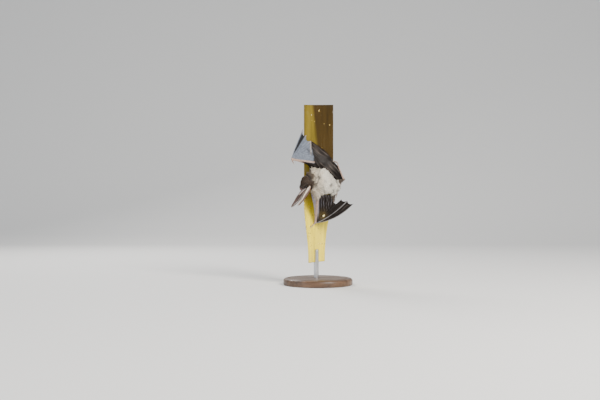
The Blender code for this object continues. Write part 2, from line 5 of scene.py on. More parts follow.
import bmesh
import bpy
import numpy as np
from mathutils import Matrix, Vector, kdtree
from mathutils.bvhtree import BVHTree


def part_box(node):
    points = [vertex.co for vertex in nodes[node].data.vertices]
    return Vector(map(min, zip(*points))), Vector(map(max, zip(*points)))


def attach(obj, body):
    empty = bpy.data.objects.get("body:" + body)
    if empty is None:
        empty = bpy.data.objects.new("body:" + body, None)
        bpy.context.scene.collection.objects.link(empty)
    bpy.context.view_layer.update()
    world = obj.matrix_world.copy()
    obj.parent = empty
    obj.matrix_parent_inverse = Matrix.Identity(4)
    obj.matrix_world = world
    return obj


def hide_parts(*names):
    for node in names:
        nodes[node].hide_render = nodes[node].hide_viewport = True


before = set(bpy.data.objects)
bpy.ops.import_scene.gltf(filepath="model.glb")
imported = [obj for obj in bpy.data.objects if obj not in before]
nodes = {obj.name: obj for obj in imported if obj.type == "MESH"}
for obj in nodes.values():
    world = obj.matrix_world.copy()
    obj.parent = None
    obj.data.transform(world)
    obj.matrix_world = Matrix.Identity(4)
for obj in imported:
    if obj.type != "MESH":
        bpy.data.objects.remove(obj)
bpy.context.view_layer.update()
MM = 0.001

# ------------------------ camera
# Level view from the front, from a little over a metre away, with the model right of the middle.
def add_object(name, data):
    """An object in the scene, at the origin."""
    made = bpy.data.objects.new(name, data)
    bpy.context.scene.collection.objects.link(made)
    return made


camera_data = bpy.data.cameras.new("camera")
camera_data.lens = 50
camera_data.sensor_width = 36
camera_data.clip_start = 0.01
camera = add_object("camera", camera_data)
camera.location = (-0.0239, -1.108, 0.1125)
camera.rotation_euler = (math.radians(90), 0, 0)
bpy.context.scene.camera = camera


# ------------------------ floor, backdrop and lights
# A pale floor that curves up into the backdrop, lit by a soft window from the front right,
# a wide pale fill from the left and a small light from behind that catches the rims.
def new_finish(name, colour, roughness, others=None):
    """A Principled material of one colour, and its shader; others gives further sockets' values."""
    material = bpy.data.materials.new(name)
    material.use_nodes = True
    shader = material.node_tree.nodes["Principled BSDF"]
    values = {"Base Color": (*colour, 1.0), "Roughness": roughness, **(others or {})}
    for socket, value in values.items():
        shader.inputs[socket].default_value = value
    return material, shader


def object_from(shell, name, material):
    """A bmesh made a smooth object at the origin."""
    mesh = bpy.data.meshes.new(name)
    shell.to_mesh(mesh)
    shell.free()
    mesh.shade_smooth()
    mesh.materials.append(material)
    return add_object(name, mesh)


studio_paint, _ = new_finish("studio_paint", (0.80, 0.79, 0.77), 0.9)
sweep = bmesh.new()
front_edge = [sweep.verts.new((x, -2.2, 0)) for x in (-3.2, 3.2)]
rim = sweep.edges.new(front_edge)
floor, wall = (3.2, 0.0), (0.05, 2.2)
curve = [(0.16, 0.02 + 0.045 * k) for k in range(9)]
for step_y, step_z in (floor, *curve, wall):
    grown = bmesh.ops.extrude_edge_only(sweep, edges=[rim])
    moved = [v for v in grown["geom"] if isinstance(v, bmesh.types.BMVert)]
    bmesh.ops.translate(sweep, vec=(0, step_y, step_z), verts=moved)
    new_edges = [e for e in grown["geom"] if isinstance(e, bmesh.types.BMEdge)]
    rim = next(e for e in new_edges if set(e.verts) == set(moved))
bmesh.ops.recalc_face_normals(sweep, faces=sweep.faces)
backdrop = object_from(sweep, "backdrop", studio_paint)

world = bpy.data.worlds.new("studio")
world.use_nodes = True
world.node_tree.nodes["Background"].inputs["Color"].default_value = (0.86, 0.90, 0.96, 1)
world.node_tree.nodes["Background"].inputs["Strength"].default_value = 0.62
bpy.context.scene.world = world


def add_lamp(name, place, aim, size, power, colour):
    """A rectangular lamp at place, turned towards aim; size in metres and power in watts."""
    data = bpy.data.lights.new(name, "AREA")
    data.shape = "RECTANGLE"
    data.size, data.size_y = size
    data.energy = power
    data.color = colour
    lamp = add_object(name, data)
    lamp.location = place
    lamp.rotation_euler = (Vector(aim) - Vector(place)).to_track_quat("-Z", "Y").to_euler()


add_lamp("window", (0.75, -1.0, 0.85), (0, 0, 0.13), (0.50, 0.6), 34, (1.0, 0.96, 0.90))
add_lamp("fill", (-1.3, -0.8, 0.5), (0, 0, 0.13), (1.2, 1.0), 8, (0.88, 0.94, 1.0))
add_lamp("rims", (-0.5, 0.7, 0.8), (0, 0, 0.14), (0.5, 0.4), 9, (1.0, 0.98, 0.95))

# ------------------------ display stand
# A turned base of dark stained wood, and a brushed steel rod that the ribbon's foot is slotted into.
# The base is a profile spun round the upright axis, and the rod a cylinder with a bevelled top.
def add_noise(shader, scale, detail=6.0, stretch=(1, 1, 1), rough=0.5):
    """Noise on Object coordinates, stretched along an axis where stretch is under 1."""
    tree = shader.id_data
    place = tree.nodes.new("ShaderNodeTexCoord")
    mapping = tree.nodes.new("ShaderNodeMapping")
    mapping.inputs["Scale"].default_value = stretch
    noise = tree.nodes.new("ShaderNodeTexNoise")
    noise.inputs["Scale"].default_value = scale
    noise.inputs["Detail"].default_value = detail
    noise.inputs["Roughness"].default_value = rough
    tree.links.new(place.outputs["Object"], mapping.inputs["Vector"])
    tree.links.new(mapping.outputs["Vector"], noise.inputs["Vector"])
    return noise.outputs["Fac"]


def add_ramp(source, *stops):
    """A colour ramp over source; each stop is (position, colour)."""
    tree = source.id_data
    ramp = tree.nodes.new("ShaderNodeValToRGB")
    while len(ramp.color_ramp.elements) < len(stops):
        ramp.color_ramp.elements.new(0.5)
    for element, (position, colour) in zip(ramp.color_ramp.elements, stops):
        element.position = position
        element.color = (*colour, 1.0)
    tree.links.new(source, ramp.inputs["Fac"])
    return ramp.outputs["Color"]


def feed(shader, socket, source):
    """Links a node's output to one of the shader's sockets."""
    shader.id_data.links.new(source, shader.inputs[socket])


def add_bump(shader, height, strength, distance):
    """Bump from height into the shader's normal."""
    bump = shader.id_data.nodes.new("ShaderNodeBump")
    bump.inputs["Strength"].default_value = strength
    bump.inputs["Distance"].default_value = distance
    shader.id_data.links.new(height, bump.inputs["Height"])
    feed(shader, "Normal", bump.outputs["Normal"])


def grey(value):
    return (value, value, value)


stained_wood, wood_shader = new_finish("stained_wood", (0.09, 0.05, 0.03), 0.38)
wood_grain = add_noise(wood_shader, 160, 8, (0.12, 1, 1), 0.62)
feed(wood_shader, "Base Color", add_ramp(wood_grain, (0.32, (0.035, 0.018, 0.010)),
                                         (0.52, (0.105, 0.055, 0.028)), (0.72, (0.17, 0.095, 0.05))))
feed(wood_shader, "Roughness", add_ramp(wood_grain, (0.3, grey(0.5)), (0.7, grey(0.32))))
add_bump(wood_shader, wood_grain, 0.25, 0.0003)

low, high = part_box("stand_base")
base_radius = (high.x - low.x) / 2
base_top = high.z
turned = bmesh.new()
GROOVE = 0.7 * MM  # depth of the ring cut in the base's top
STEP_DOWN = 0.1 * MM  # from the top to where the edge starts to round
EDGE = 3.4 * MM  # radius of the rounded edge
profile = [(0.0, base_top), (base_radius - 8.0 * MM, base_top),
           (base_radius - 7.2 * MM, base_top - GROOVE), (base_radius - 6.4 * MM, base_top - GROOVE),
           (base_radius - 5.6 * MM, base_top - STEP_DOWN)]
profile += [(base_radius - EDGE * (1 - math.sin(a)), base_top - STEP_DOWN - EDGE * (1 - math.cos(a)))
            for a in (math.radians(15 * k) for k in range(1, 7))]
profile += [(base_radius, 0.9 * MM), (base_radius - 0.9 * MM, 0.0), (0.0, 0.0)]
outline = [turned.verts.new((r, 0, z)) for r, z in profile]
edges = [turned.edges.new(pair) for pair in zip(outline, outline[1:])]
bmesh.ops.spin(turned, geom=outline + edges, cent=(0, 0, 0), axis=(0, 0, 1), angle=math.tau, steps=96,
               use_merge=True)
bmesh.ops.remove_doubles(turned, verts=turned.verts, dist=1e-6)
bmesh.ops.recalc_face_normals(turned, faces=turned.faces)
turned_base = object_from(turned, "turned_base", stained_wood)
turned_base.data.set_sharp_from_angle(angle=math.radians(35))
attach(turned_base, "root")
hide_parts("stand_base")

brushed_rod, rod_shader = new_finish("brushed_rod", (0.56, 0.56, 0.57), 0.3, {"Metallic": 1.0})
rod_lines = add_noise(rod_shader, 900, 4, (1, 1, 0.02))
feed(rod_shader, "Roughness", add_ramp(rod_lines, (0.35, grey(0.24)), (0.65, grey(0.42))))
add_bump(rod_shader, rod_lines, 0.12, 0.0001)

low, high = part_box("stand_rod")
rod_radius = (high.x - low.x) / 2
rod = bmesh.new()
bmesh.ops.create_cone(rod, cap_ends=True, segments=40, radius1=rod_radius, radius2=rod_radius,
                      depth=high.z - low.z)
bmesh.ops.translate(rod, vec=(low + high) / 2, verts=rod.verts)
top_rim = [e for e in rod.edges if all(v.co.z > high.z - 1e-6 for v in e.verts)]
bmesh.ops.bevel(rod, geom=top_rim, offset=0.8 * MM, segments=4, profile=0.5, affect="EDGES", material=-1)
rod_piece = object_from(rod, "steel_rod", brushed_rod)
rod_piece.data.set_sharp_from_angle(angle=math.radians(35))
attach(rod_piece, "root")
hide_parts("stand_rod")

# ------------------------ sticky ribbon
# A strip of waxed paper with a thick coat of clear amber glue. The glue has sagged into faint runs
# and beads, and holds dust.
def welded(names):
    """Copies of CAD nodes with their loose triangles merged, as one bmesh."""
    shell = bmesh.new()
    for name in names:
        shell.from_mesh(nodes[name].data)
    bmesh.ops.remove_doubles(shell, verts=shell.verts, dist=2e-6)
    return shell


def joined_quads(shell, bend, skew):
    """Joins pairs of triangles that meet at less than bend into quads no more uneven than skew."""
    bmesh.ops.join_triangles(shell, faces=shell.faces, angle_face_threshold=bend, angle_shape_threshold=skew,
                             cmp_seam=False, cmp_sharp=False, cmp_uvs=False, cmp_vcols=False,
                             cmp_materials=False)


def subdivided(piece, levels):
    """Adds a subdivision modifier."""
    smooth = piece.modifiers.new("smooth", "SUBSURF")
    smooth.levels = levels
    smooth.render_levels = levels


def apply_modifiers(piece):
    """Replaces a piece's mesh by the one that its modifiers make."""
    bpy.context.view_layer.update()
    graph = bpy.context.evaluated_depsgraph_get()
    mesh = bpy.data.meshes.new_from_object(piece.evaluated_get(graph))
    piece.modifiers.clear()
    piece.data = mesh
    mesh.name = piece.name
    return mesh


def crease_rims(shell, angle):
    """Keeps the sharp edges of a thin wall sharp when it is subdivided."""
    crease = shell.edges.layers.float.new("crease_edge")
    for edge in shell.edges:
        if edge.is_manifold and edge.calc_face_angle() > angle:
            edge[crease] = 1.0


def ranged(source, low, high):
    """Source mapped so that low becomes 0 and high becomes 1."""
    tree = source.id_data
    mapped = tree.nodes.new("ShaderNodeMapRange")
    mapped.inputs["From Min"].default_value = low
    mapped.inputs["From Max"].default_value = high
    tree.links.new(source, mapped.inputs["Value"])
    return mapped.outputs["Result"]


def multiplied(first, second):
    """The product of two colours."""
    tree = first.id_data
    mix = tree.nodes.new("ShaderNodeMix")
    mix.data_type = "RGBA"
    mix.blend_type = "MULTIPLY"
    mix.inputs["Factor"].default_value = 1.0
    tree.links.new(first, mix.inputs["A"])
    tree.links.new(second, mix.inputs["B"])
    return mix.outputs["Result"]


amber_glue, glue_shader = new_finish("amber_glue", (0.55, 0.40, 0.08), 0.16, {
    "Coat Weight": 0.45, "Coat Roughness": 0.08, "Specular IOR Level": 0.2})
glue_tree = glue_shader.id_data
glue_place = glue_tree.nodes.new("ShaderNodeTexCoord").outputs["Object"]
glue_axes = glue_tree.nodes.new("ShaderNodeSeparateXYZ")
glue_tree.links.new(glue_place, glue_axes.inputs["Vector"])
glue_runs = add_noise(glue_shader, 140, 5, (1.0, 1.0, 0.10), 0.6)
ribbon_low, ribbon_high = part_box("ribbon_perch")
glue_height = ranged(glue_axes.outputs["Z"], ribbon_low.z, ribbon_high.z)
# Bright pale yellow at the foot of the strip, darker brown above; the foot's pale glow is painted light
# shining through the strip
glue_by_height = add_ramp(glue_height, (0.0, (0.90, 0.70, 0.035)), (0.28, (0.86, 0.68, 0.045)),
                (0.44, (0.34, 0.23, 0.022)), (0.70, (0.185, 0.130, 0.010)), (1.0, (0.175, 0.122, 0.010)))
streaks = add_ramp(glue_runs, (0.30, grey(0.60)), (0.52, grey(1.0)), (0.75, grey(1.25)))
# Painted shadow: the right edge of the strip's upper part is darkened on a slight slant, as a cast shadow
# falling on it
glue_slant = glue_tree.nodes.new("ShaderNodeVectorMath")
glue_slant.operation = "DOT_PRODUCT"
glue_slant.inputs[1].default_value = (1.0, 0.0, 0.112)
glue_tree.links.new(glue_place, glue_slant.inputs[0])
glue_side = ranged(glue_slant.outputs["Value"], 17.2 * MM, 21.5 * MM)
right_edge = add_ramp(glue_side, (0.0, grey(0.0)), (1.0, grey(1.0)))
upper_part = add_ramp(glue_height, (0.42, grey(0.0)), (0.60, grey(1.0)))
painted_shadow = add_ramp(multiplied(right_edge, upper_part), (0.0, grey(1.0)), (1.0, (0.26, 0.20, 0.16)))
feed(glue_shader, "Base Color", multiplied(multiplied(glue_by_height, streaks), painted_shadow))
feed(glue_shader, "Roughness", add_ramp(glue_runs, (0.35, grey(0.10)), (0.7, grey(0.34))))
add_bump(glue_shader, glue_runs, 0.35, 0.0006)

strip = welded(["ribbon_perch"])
joined_quads(strip, 0.6, 1.2)
crease_rims(strip, math.radians(40))
ribbon = object_from(strip, "sticky_ribbon", amber_glue)
subdivided(ribbon, 3)
apply_modifiers(ribbon).shade_smooth()
ribbon.data.set_sharp_from_angle(angle=math.radians(50))
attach(ribbon, "root")
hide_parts("ribbon_perch")

# ------------------------ beads of glue and dust
# Rounded drops where the glue has run together on the strip's face, and dull specks of dust stuck in
# it. Both are flattened balls of random size, sunk in the face at random places.
def read_rows(items, field, kind=float):
    """A field of three numbers for each item, as rows of an array."""
    flat = np.empty(len(items) * 3, dtype=kind)
    items.foreach_get(field, flat)
    return flat.reshape(-1, 3)


def points_of(mesh):
    return read_rows(mesh.vertices, "co")


def normals_of(mesh):
    return read_rows(mesh.vertex_normals, "vector")


ribbon_points = points_of(ribbon.data)
ribbon_normals = normals_of(ribbon.data)
bead_random = np.random.default_rng(21)
ABOVE_ROD = 48 * MM
bead_room = (ribbon_points[:, 2] > ABOVE_ROD) & (ribbon_points[:, 2] < ribbon_high.z - 2.5 * MM)
bead_room &= np.abs(ribbon_points[:, 0]) < ribbon_high.x - 1.5 * MM
front_points = np.flatnonzero((ribbon_normals[:, 1] < -0.25) & bead_room)


def scatter(count, smallest, largest, flatness):
    """Flattened balls of random size, sunk in the strip's face at random places."""
    balls = bmesh.new()
    for index in bead_random.choice(front_points, size=count, replace=False):
        radius = smallest + (largest - smallest) * bead_random.random() ** 2.5
        out = Vector(ribbon_normals[index])
        turn = out.to_track_quat("Z", "Y").to_matrix().to_4x4()
        stretch = bead_random.uniform(1.0, 1.9)
        size = Matrix.Diagonal((radius, radius * stretch, radius * flatness, 1.0))
        spot = Vector(ribbon_points[index]) + out * radius * 0.1
        placed = Matrix.Translation(spot) @ turn @ size
        bmesh.ops.create_icosphere(balls, subdivisions=2, radius=1.0, matrix=placed)
    return balls


clear_glue, bead_shader = new_finish("clear_glue", (0.62, 0.42, 0.09), 0.08,
                                     {"Coat Weight": 1.0, "Coat Roughness": 0.04})
bead_depth = add_noise(bead_shader, 700, 3)
feed(bead_shader, "Base Color", add_ramp(bead_depth, (0.3, (0.28, 0.17, 0.02)), (0.7, (0.60, 0.42, 0.08))))
BEAD_COUNT, DUST_COUNT = 46, 150
beads = object_from(scatter(BEAD_COUNT, 0.3 * MM, 1.1 * MM, 0.4), "glue_beads", clear_glue)
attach(beads, "root")

grey_dust, dust_shader = new_finish("grey_dust", (0.05, 0.04, 0.03), 0.9)
dust_grain = add_noise(dust_shader, 3000, 3)
feed(dust_shader, "Base Color", add_ramp(dust_grain, (0.35, (0.03, 0.024, 0.018)), (0.7, (0.16, 0.13, 0.10))))
dust = object_from(scatter(DUST_COUNT, 0.10 * MM, 0.34 * MM, 0.8), "dust_specks", grey_dust)
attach(dust, "root")

# ------------------------ skin under the fur
# One skin runs over head, neck, trunk, upper arms and thighs. It lies inside the solids by the depth
# of the coat, which is deepest on the belly and almost nothing on the muzzle.
FURRED = ["head", "neck", "trunk", "upper_arm_left", "upper_arm_right", "thigh_left", "thigh_right"]
COAT_DEPTH = {"head": 0.9 * MM, "neck": 3.9 * MM, "trunk": 2.6 * MM, "upper_arm_left": 1.7 * MM,
              "upper_arm_right": 1.7 * MM, "thigh_left": 0.8 * MM, "thigh_right": 0.8 * MM}


def swollen_union(names, name, by, voxel, material):
    """One closed skin over these nodes: each is grown by this much, so that their gaps close."""
    shell = welded(names)
    shell.normal_update()
    for v, way in [(v, v.normal.copy()) for v in shell.verts]:
        v.co += way * by
    piece = object_from(shell, name, material)
    remesh = piece.modifiers.new("one_skin", "REMESH")
    remesh.mode = "VOXEL"
    remesh.voxel_size = voxel
    apply_modifiers(piece)
    return piece


def set_points(mesh, points):
    """Moves a mesh's points here."""
    mesh.vertices.foreach_set("co", points.ravel())
    mesh.update()


def relaxed(mesh, points, rounds, share=0.5):
    """Points drawn this many times towards the average of their neighbours."""
    pairs = np.empty(len(mesh.edges) * 2, dtype=np.int64)
    mesh.edges.foreach_get("vertices", pairs)
    first, second = pairs[0::2], pairs[1::2]
    count = np.bincount(np.concatenate([first, second]), minlength=len(points))[:, None]
    for _ in range(rounds):
        total = np.stack([np.bincount(first, points[second, k], len(points))
                          + np.bincount(second, points[first, k], len(points)) for k in range(3)], axis=1)
        points = points + (total / np.maximum(count, 1) - points) * share
    return points


def nearest_distance(points, names):
    """For each point, how far it is from the surface of the nearest of these nodes."""
    surface = bmesh.new()
    for name in names:
        surface.from_mesh(nodes[name].data)
    search = BVHTree.FromBMesh(surface)
    surface.free()
    return np.array([search.find_nearest(p)[3] for p in points])


def smooth_step(value, low, high):
    """0 up to low, 1 from high on, and a smooth rise between."""
    t = np.clip((value - low) / (high - low), 0, 1)
    return t * t * (3 - 2 * t)


def mound(*terms):
    """A smooth mound, 1 at its middle; each term is a distance from the middle and a half width."""
    return np.exp(-sum((off / width) ** 2 for off, width in terms))


eye_left = sum(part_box("eye_left"), Vector()) / 2
eye_right = sum(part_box("eye_right"), Vector()) / 2
brow = np.array((eye_left + eye_right) / 2)
head_right = np.array((eye_right - eye_left).normalized())
head_points = points_of(nodes["head"].data)
neck_middle = np.array(sum(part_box("neck"), Vector()) / 2)
snout = head_points[np.argmax(np.linalg.norm(head_points - neck_middle, axis=1))]
head_front = snout - neck_middle
head_front -= head_right * head_front.dot(head_right)
head_front /= np.linalg.norm(head_front)
head_up = np.cross(head_right, head_front)


def in_head(points):
    """Forward, upward and rightward distances from the point between the eyes, in millimetres."""
    offset = points - brow
    return offset @ head_front / MM, offset @ head_up / MM, offset @ head_right / MM


def eye_gap(points):
    """How far each point is from the middle of the nearer eye, in millimetres."""
    gaps = [np.linalg.norm(points - np.array(eye), axis=1) for eye in (eye_left, eye_right)]
    return np.minimum(*gaps) / MM


def tone_of(shader):
    """The colour that a mesh carries in its attribute tone."""
    tone = shader.id_data.nodes.new("ShaderNodeAttribute")
    tone.attribute_name = "tone"
    return tone.outputs["Color"]


coat_skin, skin_shader = new_finish("coat_skin", (0.05, 0.04, 0.035), 0.7)
feed(skin_shader, "Base Color", tone_of(skin_shader))
add_bump(skin_shader, add_noise(skin_shader, 2600, 4), 0.5, 0.0002)

SWELL = 0.28 * MM  # growth that closes the gaps between the furred nodes
body_skin = swollen_union(FURRED, "body_skin", SWELL, 0.27 * MM, coat_skin)
body_mesh = body_skin.data
skin_points = relaxed(body_mesh, points_of(body_mesh), 14)
set_points(body_mesh, skin_points)
shares = np.zeros((len(skin_points), len(FURRED)))
for column, name in enumerate(FURRED):
    shares[:, column] = 1 / (nearest_distance(skin_points, [name]) + 0.6 * MM) ** 3
shares /= shares.sum(axis=1)[:, None]
depth = shares @ np.array([COAT_DEPTH[name] for name in FURRED])
forward, upward, rightward = in_head(skin_points)
bare_face = smooth_step(forward, -3.0, 4.5) * shares[:, 0]
depth = depth * (1 - 0.72 * bare_face) + SWELL
skin_points = skin_points - normals_of(body_mesh) * depth[:, None]
skin_points = relaxed(body_mesh, skin_points, 4)
meeting = smooth_step(1 - shares.max(axis=1), 0.06, 0.35) * (1 - bare_face)
filled = relaxed(body_mesh, skin_points, 320, 0.6)
skin_points = skin_points + (filled - skin_points) * meeting[:, None]

# Face: swollen glands beside the nose, two nostrils, a lip line and lids round the eyes
set_points(body_mesh, skin_points)
forward, upward, rightward = in_head(skin_points)
side = np.abs(rightward)
on_head = shares[:, 0] > 0.35
nose = np.argmax(forward * on_head)
nose_ahead = forward - forward[nose]
nose_above = upward - upward[nose]
lip_height = upward[nose] - 1.15 + 0.10 * nose_ahead
eye_distance = eye_gap(skin_points)


def nostrils(length, height, width):
    """A mound over each nostril, with these half sizes in millimetres."""
    return mound((nose_ahead + 0.5, length), (nose_above - 0.5, height), (side - 0.95, width))


glands = mound((forward - 3.3, 1.7), (upward + 0.6, 1.2), (side - 3.4, 1.5))
nostril_rims = mound((nose_ahead + 0.3, 0.6), (nose_above - 0.4, 1.0), (side - 1.6, 0.35))
lift = 0.55 * glands - 0.95 * nostrils(0.6, 0.36, 0.45) + 0.28 * nostril_rims
lift -= 0.28 * mound((side, 0.28)) * smooth_step(nose_ahead, -1.6, -0.8)
lift -= 0.50 * mound((upward - lip_height, 0.30)) * smooth_step(forward, -0.8, 0.4)
lift += 0.30 * mound((eye_distance - 1.55, 0.28))
lift -= 0.45 * mound((eye_distance, 1.1))
skin_points = skin_points + normals_of(body_mesh) * (lift * on_head * MM)[:, None]
set_points(body_mesh, skin_points)
body_mesh.shade_smooth()
skin_normals = normals_of(body_mesh)


# The coat's colours: cream on the belly, brown on the back, head and thighs, and near black at the roots of
# the hairs. The brown is darker than the fur's own, as painted shade, and the throat, the chest beside the
# head and the face are painted brown and near black where shade falls on them.
CREAM = np.array((0.95, 0.91, 0.80))
BUFF = np.array((0.60, 0.46, 0.30))
BROWN_AND_SHADE = np.array((0.048, 0.027, 0.014))
DARK_FACE_AND_SHADE = np.array((0.024, 0.014, 0.009))
THIGH_GREY = np.array((0.120, 0.092, 0.072))
ROOT_DARK = np.array((0.030, 0.021, 0.016))
NOSE_SKIN = np.array((0.075, 0.045, 0.035))
LIP_PINK = np.array((0.20, 0.105, 0.085))
# Places where the belly's fur parts: x, z and radius in millimetres
PARTINGS = ((0.9, 140.8, 1.9), (14.2, 132.0, 1.8), (7.5, 136.5, 1.0), (17.5, 126.0, 1.3), (5.0, 130.0, 0.9))


def wobble(points, size, seed):
    """Smooth noise from about -1 to 1 with features of this size in metres."""
    random = np.random.default_rng(seed)
    total = np.zeros(len(points))
    for _ in range(7):
        wave = random.normal(size=3)
        wave *= random.uniform(0.7, 1.5) * math.tau / size / np.linalg.norm(wave)
        total += np.sin(points @ wave + random.uniform(0, math.tau))
    return total / 3.2


def coat_tone(points, parts):
    """Tip colour of the coat at each point, where parts are the shares of the furred nodes."""
    rough = wobble(points, 5 * MM, 3)
    head_share = parts[:, 0]
    thigh_share = parts[:, 5] + parts[:, 6]
    towards_back = smooth_step(points[:, 1] / MM + 1.2 * rough, -8.5, -4.2)
    forward, upward, rightward = in_head(points)
    # Painted shade: the throat and the chest beside the head are painted brown
    neck_brown_and_shade = smooth_step(-points[:, 0] / MM + 1.4 * rough, 6.0, 9.5) * (parts[:, 1] + parts[:, 2] * 0.8)
    neck_brown_and_shade = np.clip(neck_brown_and_shade * smooth_step(points[:, 2] / MM, 126, 131), 0, 0.92)
    warm = 0.08 + 0.10 * np.clip(rough, -1, 1) + 0.5 * smooth_step(-points[:, 0] / MM, -10, 4)
    tone = CREAM + (BUFF - CREAM) * warm[:, None]
    tone = tone + (BROWN_AND_SHADE - tone) * towards_back[:, None]
    tone = tone + (BROWN_AND_SHADE - tone) * neck_brown_and_shade[:, None]
    # The head is brown all over, its throat too, partly as painted shade
    tone = tone + (BROWN_AND_SHADE - tone) * np.clip(head_share * 1.3, 0, 1)[:, None]
    # The face is darker still, partly its own colour and partly painted shade
    face = smooth_step(forward + 0.8 * rough, -1.5, 3.5) * head_share
    tone = tone + (DARK_FACE_AND_SHADE - tone) * face[:, None]
    for x, z, radius in PARTINGS:
        off = ((points[:, 0] / MM - x) ** 2 + (points[:, 2] / MM - z) ** 2) / radius ** 2
        tone = tone * (1 - 0.88 * np.exp(-off) * parts[:, 2])[:, None]
    return tone + (THIGH_GREY - tone) * np.clip(thigh_share * 1.1, 0, 1)[:, None]


def write_tone(mesh, colours):
    """Stores a colour for each point in the mesh's attribute tone."""
    layer = mesh.color_attributes.new("tone", "FLOAT_COLOR", "POINT")
    rgba = np.ones((len(colours), 4))
    rgba[:, :3] = colours
    layer.data.foreach_set("color", rgba.ravel())


tips = coat_tone(skin_points, shares)
show_skin = np.clip(bare_face * 1.2, 0, 1)[:, None]
pink_lips = smooth_step(nose_ahead, -2.2, -0.6)[:, None] * show_skin
lips = mound((upward - lip_height, 0.26)) * smooth_step(forward, -0.8, 0.4)
# Painted shade: the nostril pits and the lip line are darkened
painted_crease_shade = np.clip(1.5 * nostrils(0.9, 0.40, 0.46) + 0.6 * lips * on_head, 0, 1)
skin_colours = ROOT_DARK * 0.7 + tips * 0.3
skin_colours = skin_colours * (1 - show_skin) + NOSE_SKIN * show_skin
skin_colours = skin_colours + (LIP_PINK - skin_colours) * 0.75 * pink_lips
skin_colours = skin_colours * (1 - 0.92 * painted_crease_shade)[:, None]
write_tone(body_mesh, skin_colours)
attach(body_skin, "root")
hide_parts(*FURRED)

# ------------------------ eyes
# Two small round eyes, half sunk in their lids: glossy near-black balls at the middles of the
# eyes' solids, joined into one piece.
wet_eye, eye_shader = new_finish("wet_eye", (0.008, 0.006, 0.005), 0.06,
                                 {"Coat Weight": 1.0, "Coat Roughness": 0.02})
eye_depth = add_noise(eye_shader, 1800, 3)
feed(eye_shader, "Base Color", add_ramp(eye_depth, (0.4, (0.006, 0.004, 0.004)),
                                        (0.7, (0.020, 0.012, 0.008))))
EYE_RADIUS = 1.18 * MM
eyes = bmesh.new()
for centre in (eye_left, eye_right):
    ball = bmesh.ops.create_uvsphere(eyes, u_segments=32, v_segments=20, radius=EYE_RADIUS)
    bmesh.ops.translate(eyes, vec=centre, verts=ball["verts"])
eye_pair = object_from(eyes, "eye_pair", wet_eye)
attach(eye_pair, "root")
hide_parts("eye_left", "eye_right")

# ------------------------ wings, legs and tail
# Thin skin with fine creases is stretched from the arm and its long fingers to the flank, leg and
# tail. It is drawn over the slender bones, which show through it pinkish and pale.
BARE_BONES = {
    "wing_skin_left": ["forearm_left", "thumb_left"],
    "wing_skin_right": ["forearm_right", "thumb_right"],
    "hind_skin": ["shin_left", "shin_right", "foot_left", "foot_right", "tail"],
}
LIMB_SKINS = {
    name: bones + webs for (name, bones), webs in zip(BARE_BONES.items(), (
        ["hand_wing_left", "arm_wing_left", "fore_web_left"],
        ["hand_wing_right", "arm_wing_right", "fore_web_right"],
        ["tail_web_left", "tail_web_right"]))
}
# Each finger: its tip and its bow in millimetres, and its paleness
FINGERS = {
    "wing_skin_left": (((-20.3, -2.0, 207.0), (0, -1.6, 0), 0.6), ((-15.6, -2.2, 198.6), (0, -1.6, 0), 0.6),
                       ((-9.3, -2.6, 191.0), (0, -1.6, 0), 0.6)),
    "wing_skin_right": (((46.4, -18.0, 107.6), (2.2, -1.2, -4.2), 1.0),
                        ((38.2, -16.5, 111.6), (1.2, -1.2, -2.6), 0.8),
                        ((30.4, -15.0, 113.6), (0, -1.2, -0.6), 0.05)),
}
# How much each skin's nodes grow to close their gaps, and the grain of the skin made over them
GROWTH = {"wing_skin_left": (0.3 * MM, 0.29 * MM), "wing_skin_right": (0.5 * MM, 0.27 * MM),
          "hind_skin": (0.5 * MM, 0.27 * MM)}
MEMBRANE_BROWN = np.array((0.0085, 0.0058, 0.0046))
CREST_HIGHLIGHT = np.array((0.085, 0.068, 0.058))
SLATE_SHEEN = np.array((0.122, 0.139, 0.172))
MEMBRANE_LILAC = np.array((0.330, 0.300, 0.335))
FOLD_HIGHLIGHT = np.array((0.34, 0.30, 0.26))
FINGER_GREY = np.array((0.22, 0.21, 0.21))
BONE_PINK = np.array((0.36, 0.25, 0.20))
SLOT_SHADE = np.array((0.008, 0.007, 0.007))
PLEAT_GREY = np.array((0.075, 0.075, 0.088))
SHINE_THROUGH_YELLOW = np.array((0.12, 0.085, 0.028))

thin_skin, thin_shader = new_finish("thin_skin", (0.05, 0.04, 0.035), 0.4, {"Specular IOR Level": 0.12})
thin_patches = add_noise(thin_shader, 420, 6, rough=0.6)
thin_shade = add_ramp(thin_patches, (0.3, grey(0.70)), (0.5, grey(1.0)), (0.72, grey(1.30)))
feed(thin_shader, "Base Color", multiplied(tone_of(thin_shader), thin_shade))
feed(thin_shader, "Roughness", add_ramp(thin_patches, (0.3, grey(0.40)), (0.7, grey(0.58))))
add_bump(thin_shader, add_noise(thin_shader, 900, 6, (1, 1, 0.4), 0.6), 0.45, 0.0004)


def far_point(name, towards):
    """The point of a node that reaches furthest in a direction."""
    own = points_of(nodes[name].data)
    return own[np.argmax(own @ np.array(towards))]


def line_distance(points, start, end, bow=(0.0, 0.0, 0.0)):
    """Distance to a line between two points, bowed by this much, and how far along it, from 0 to 1."""
    way = end - start
    along = np.clip((points - start) @ way / way.dot(way), 0, 1)
    line = start + along[:, None] * way + np.outer(4 * along * (1 - along), bow)
    return np.linalg.norm(points - line, axis=1), along


def crests(across, spacing, points, size, seed):
    """Sharp crests that repeat at this spacing along across, bent and broken up by smooth noise."""
    bend = 0.9 * wobble(points, size, seed)
    height = (1 - np.abs(np.sin(across * math.pi / spacing + bend))) ** 2
    return height * np.clip(0.55 + 0.6 * wobble(points, size * 0.7, seed + 100), 0, 1)


def blended(tone, colour, share):
    """Each row of tone drawn towards a colour by its share."""
    return tone + (colour - tone) * np.clip(share, 0, 1)[:, None]


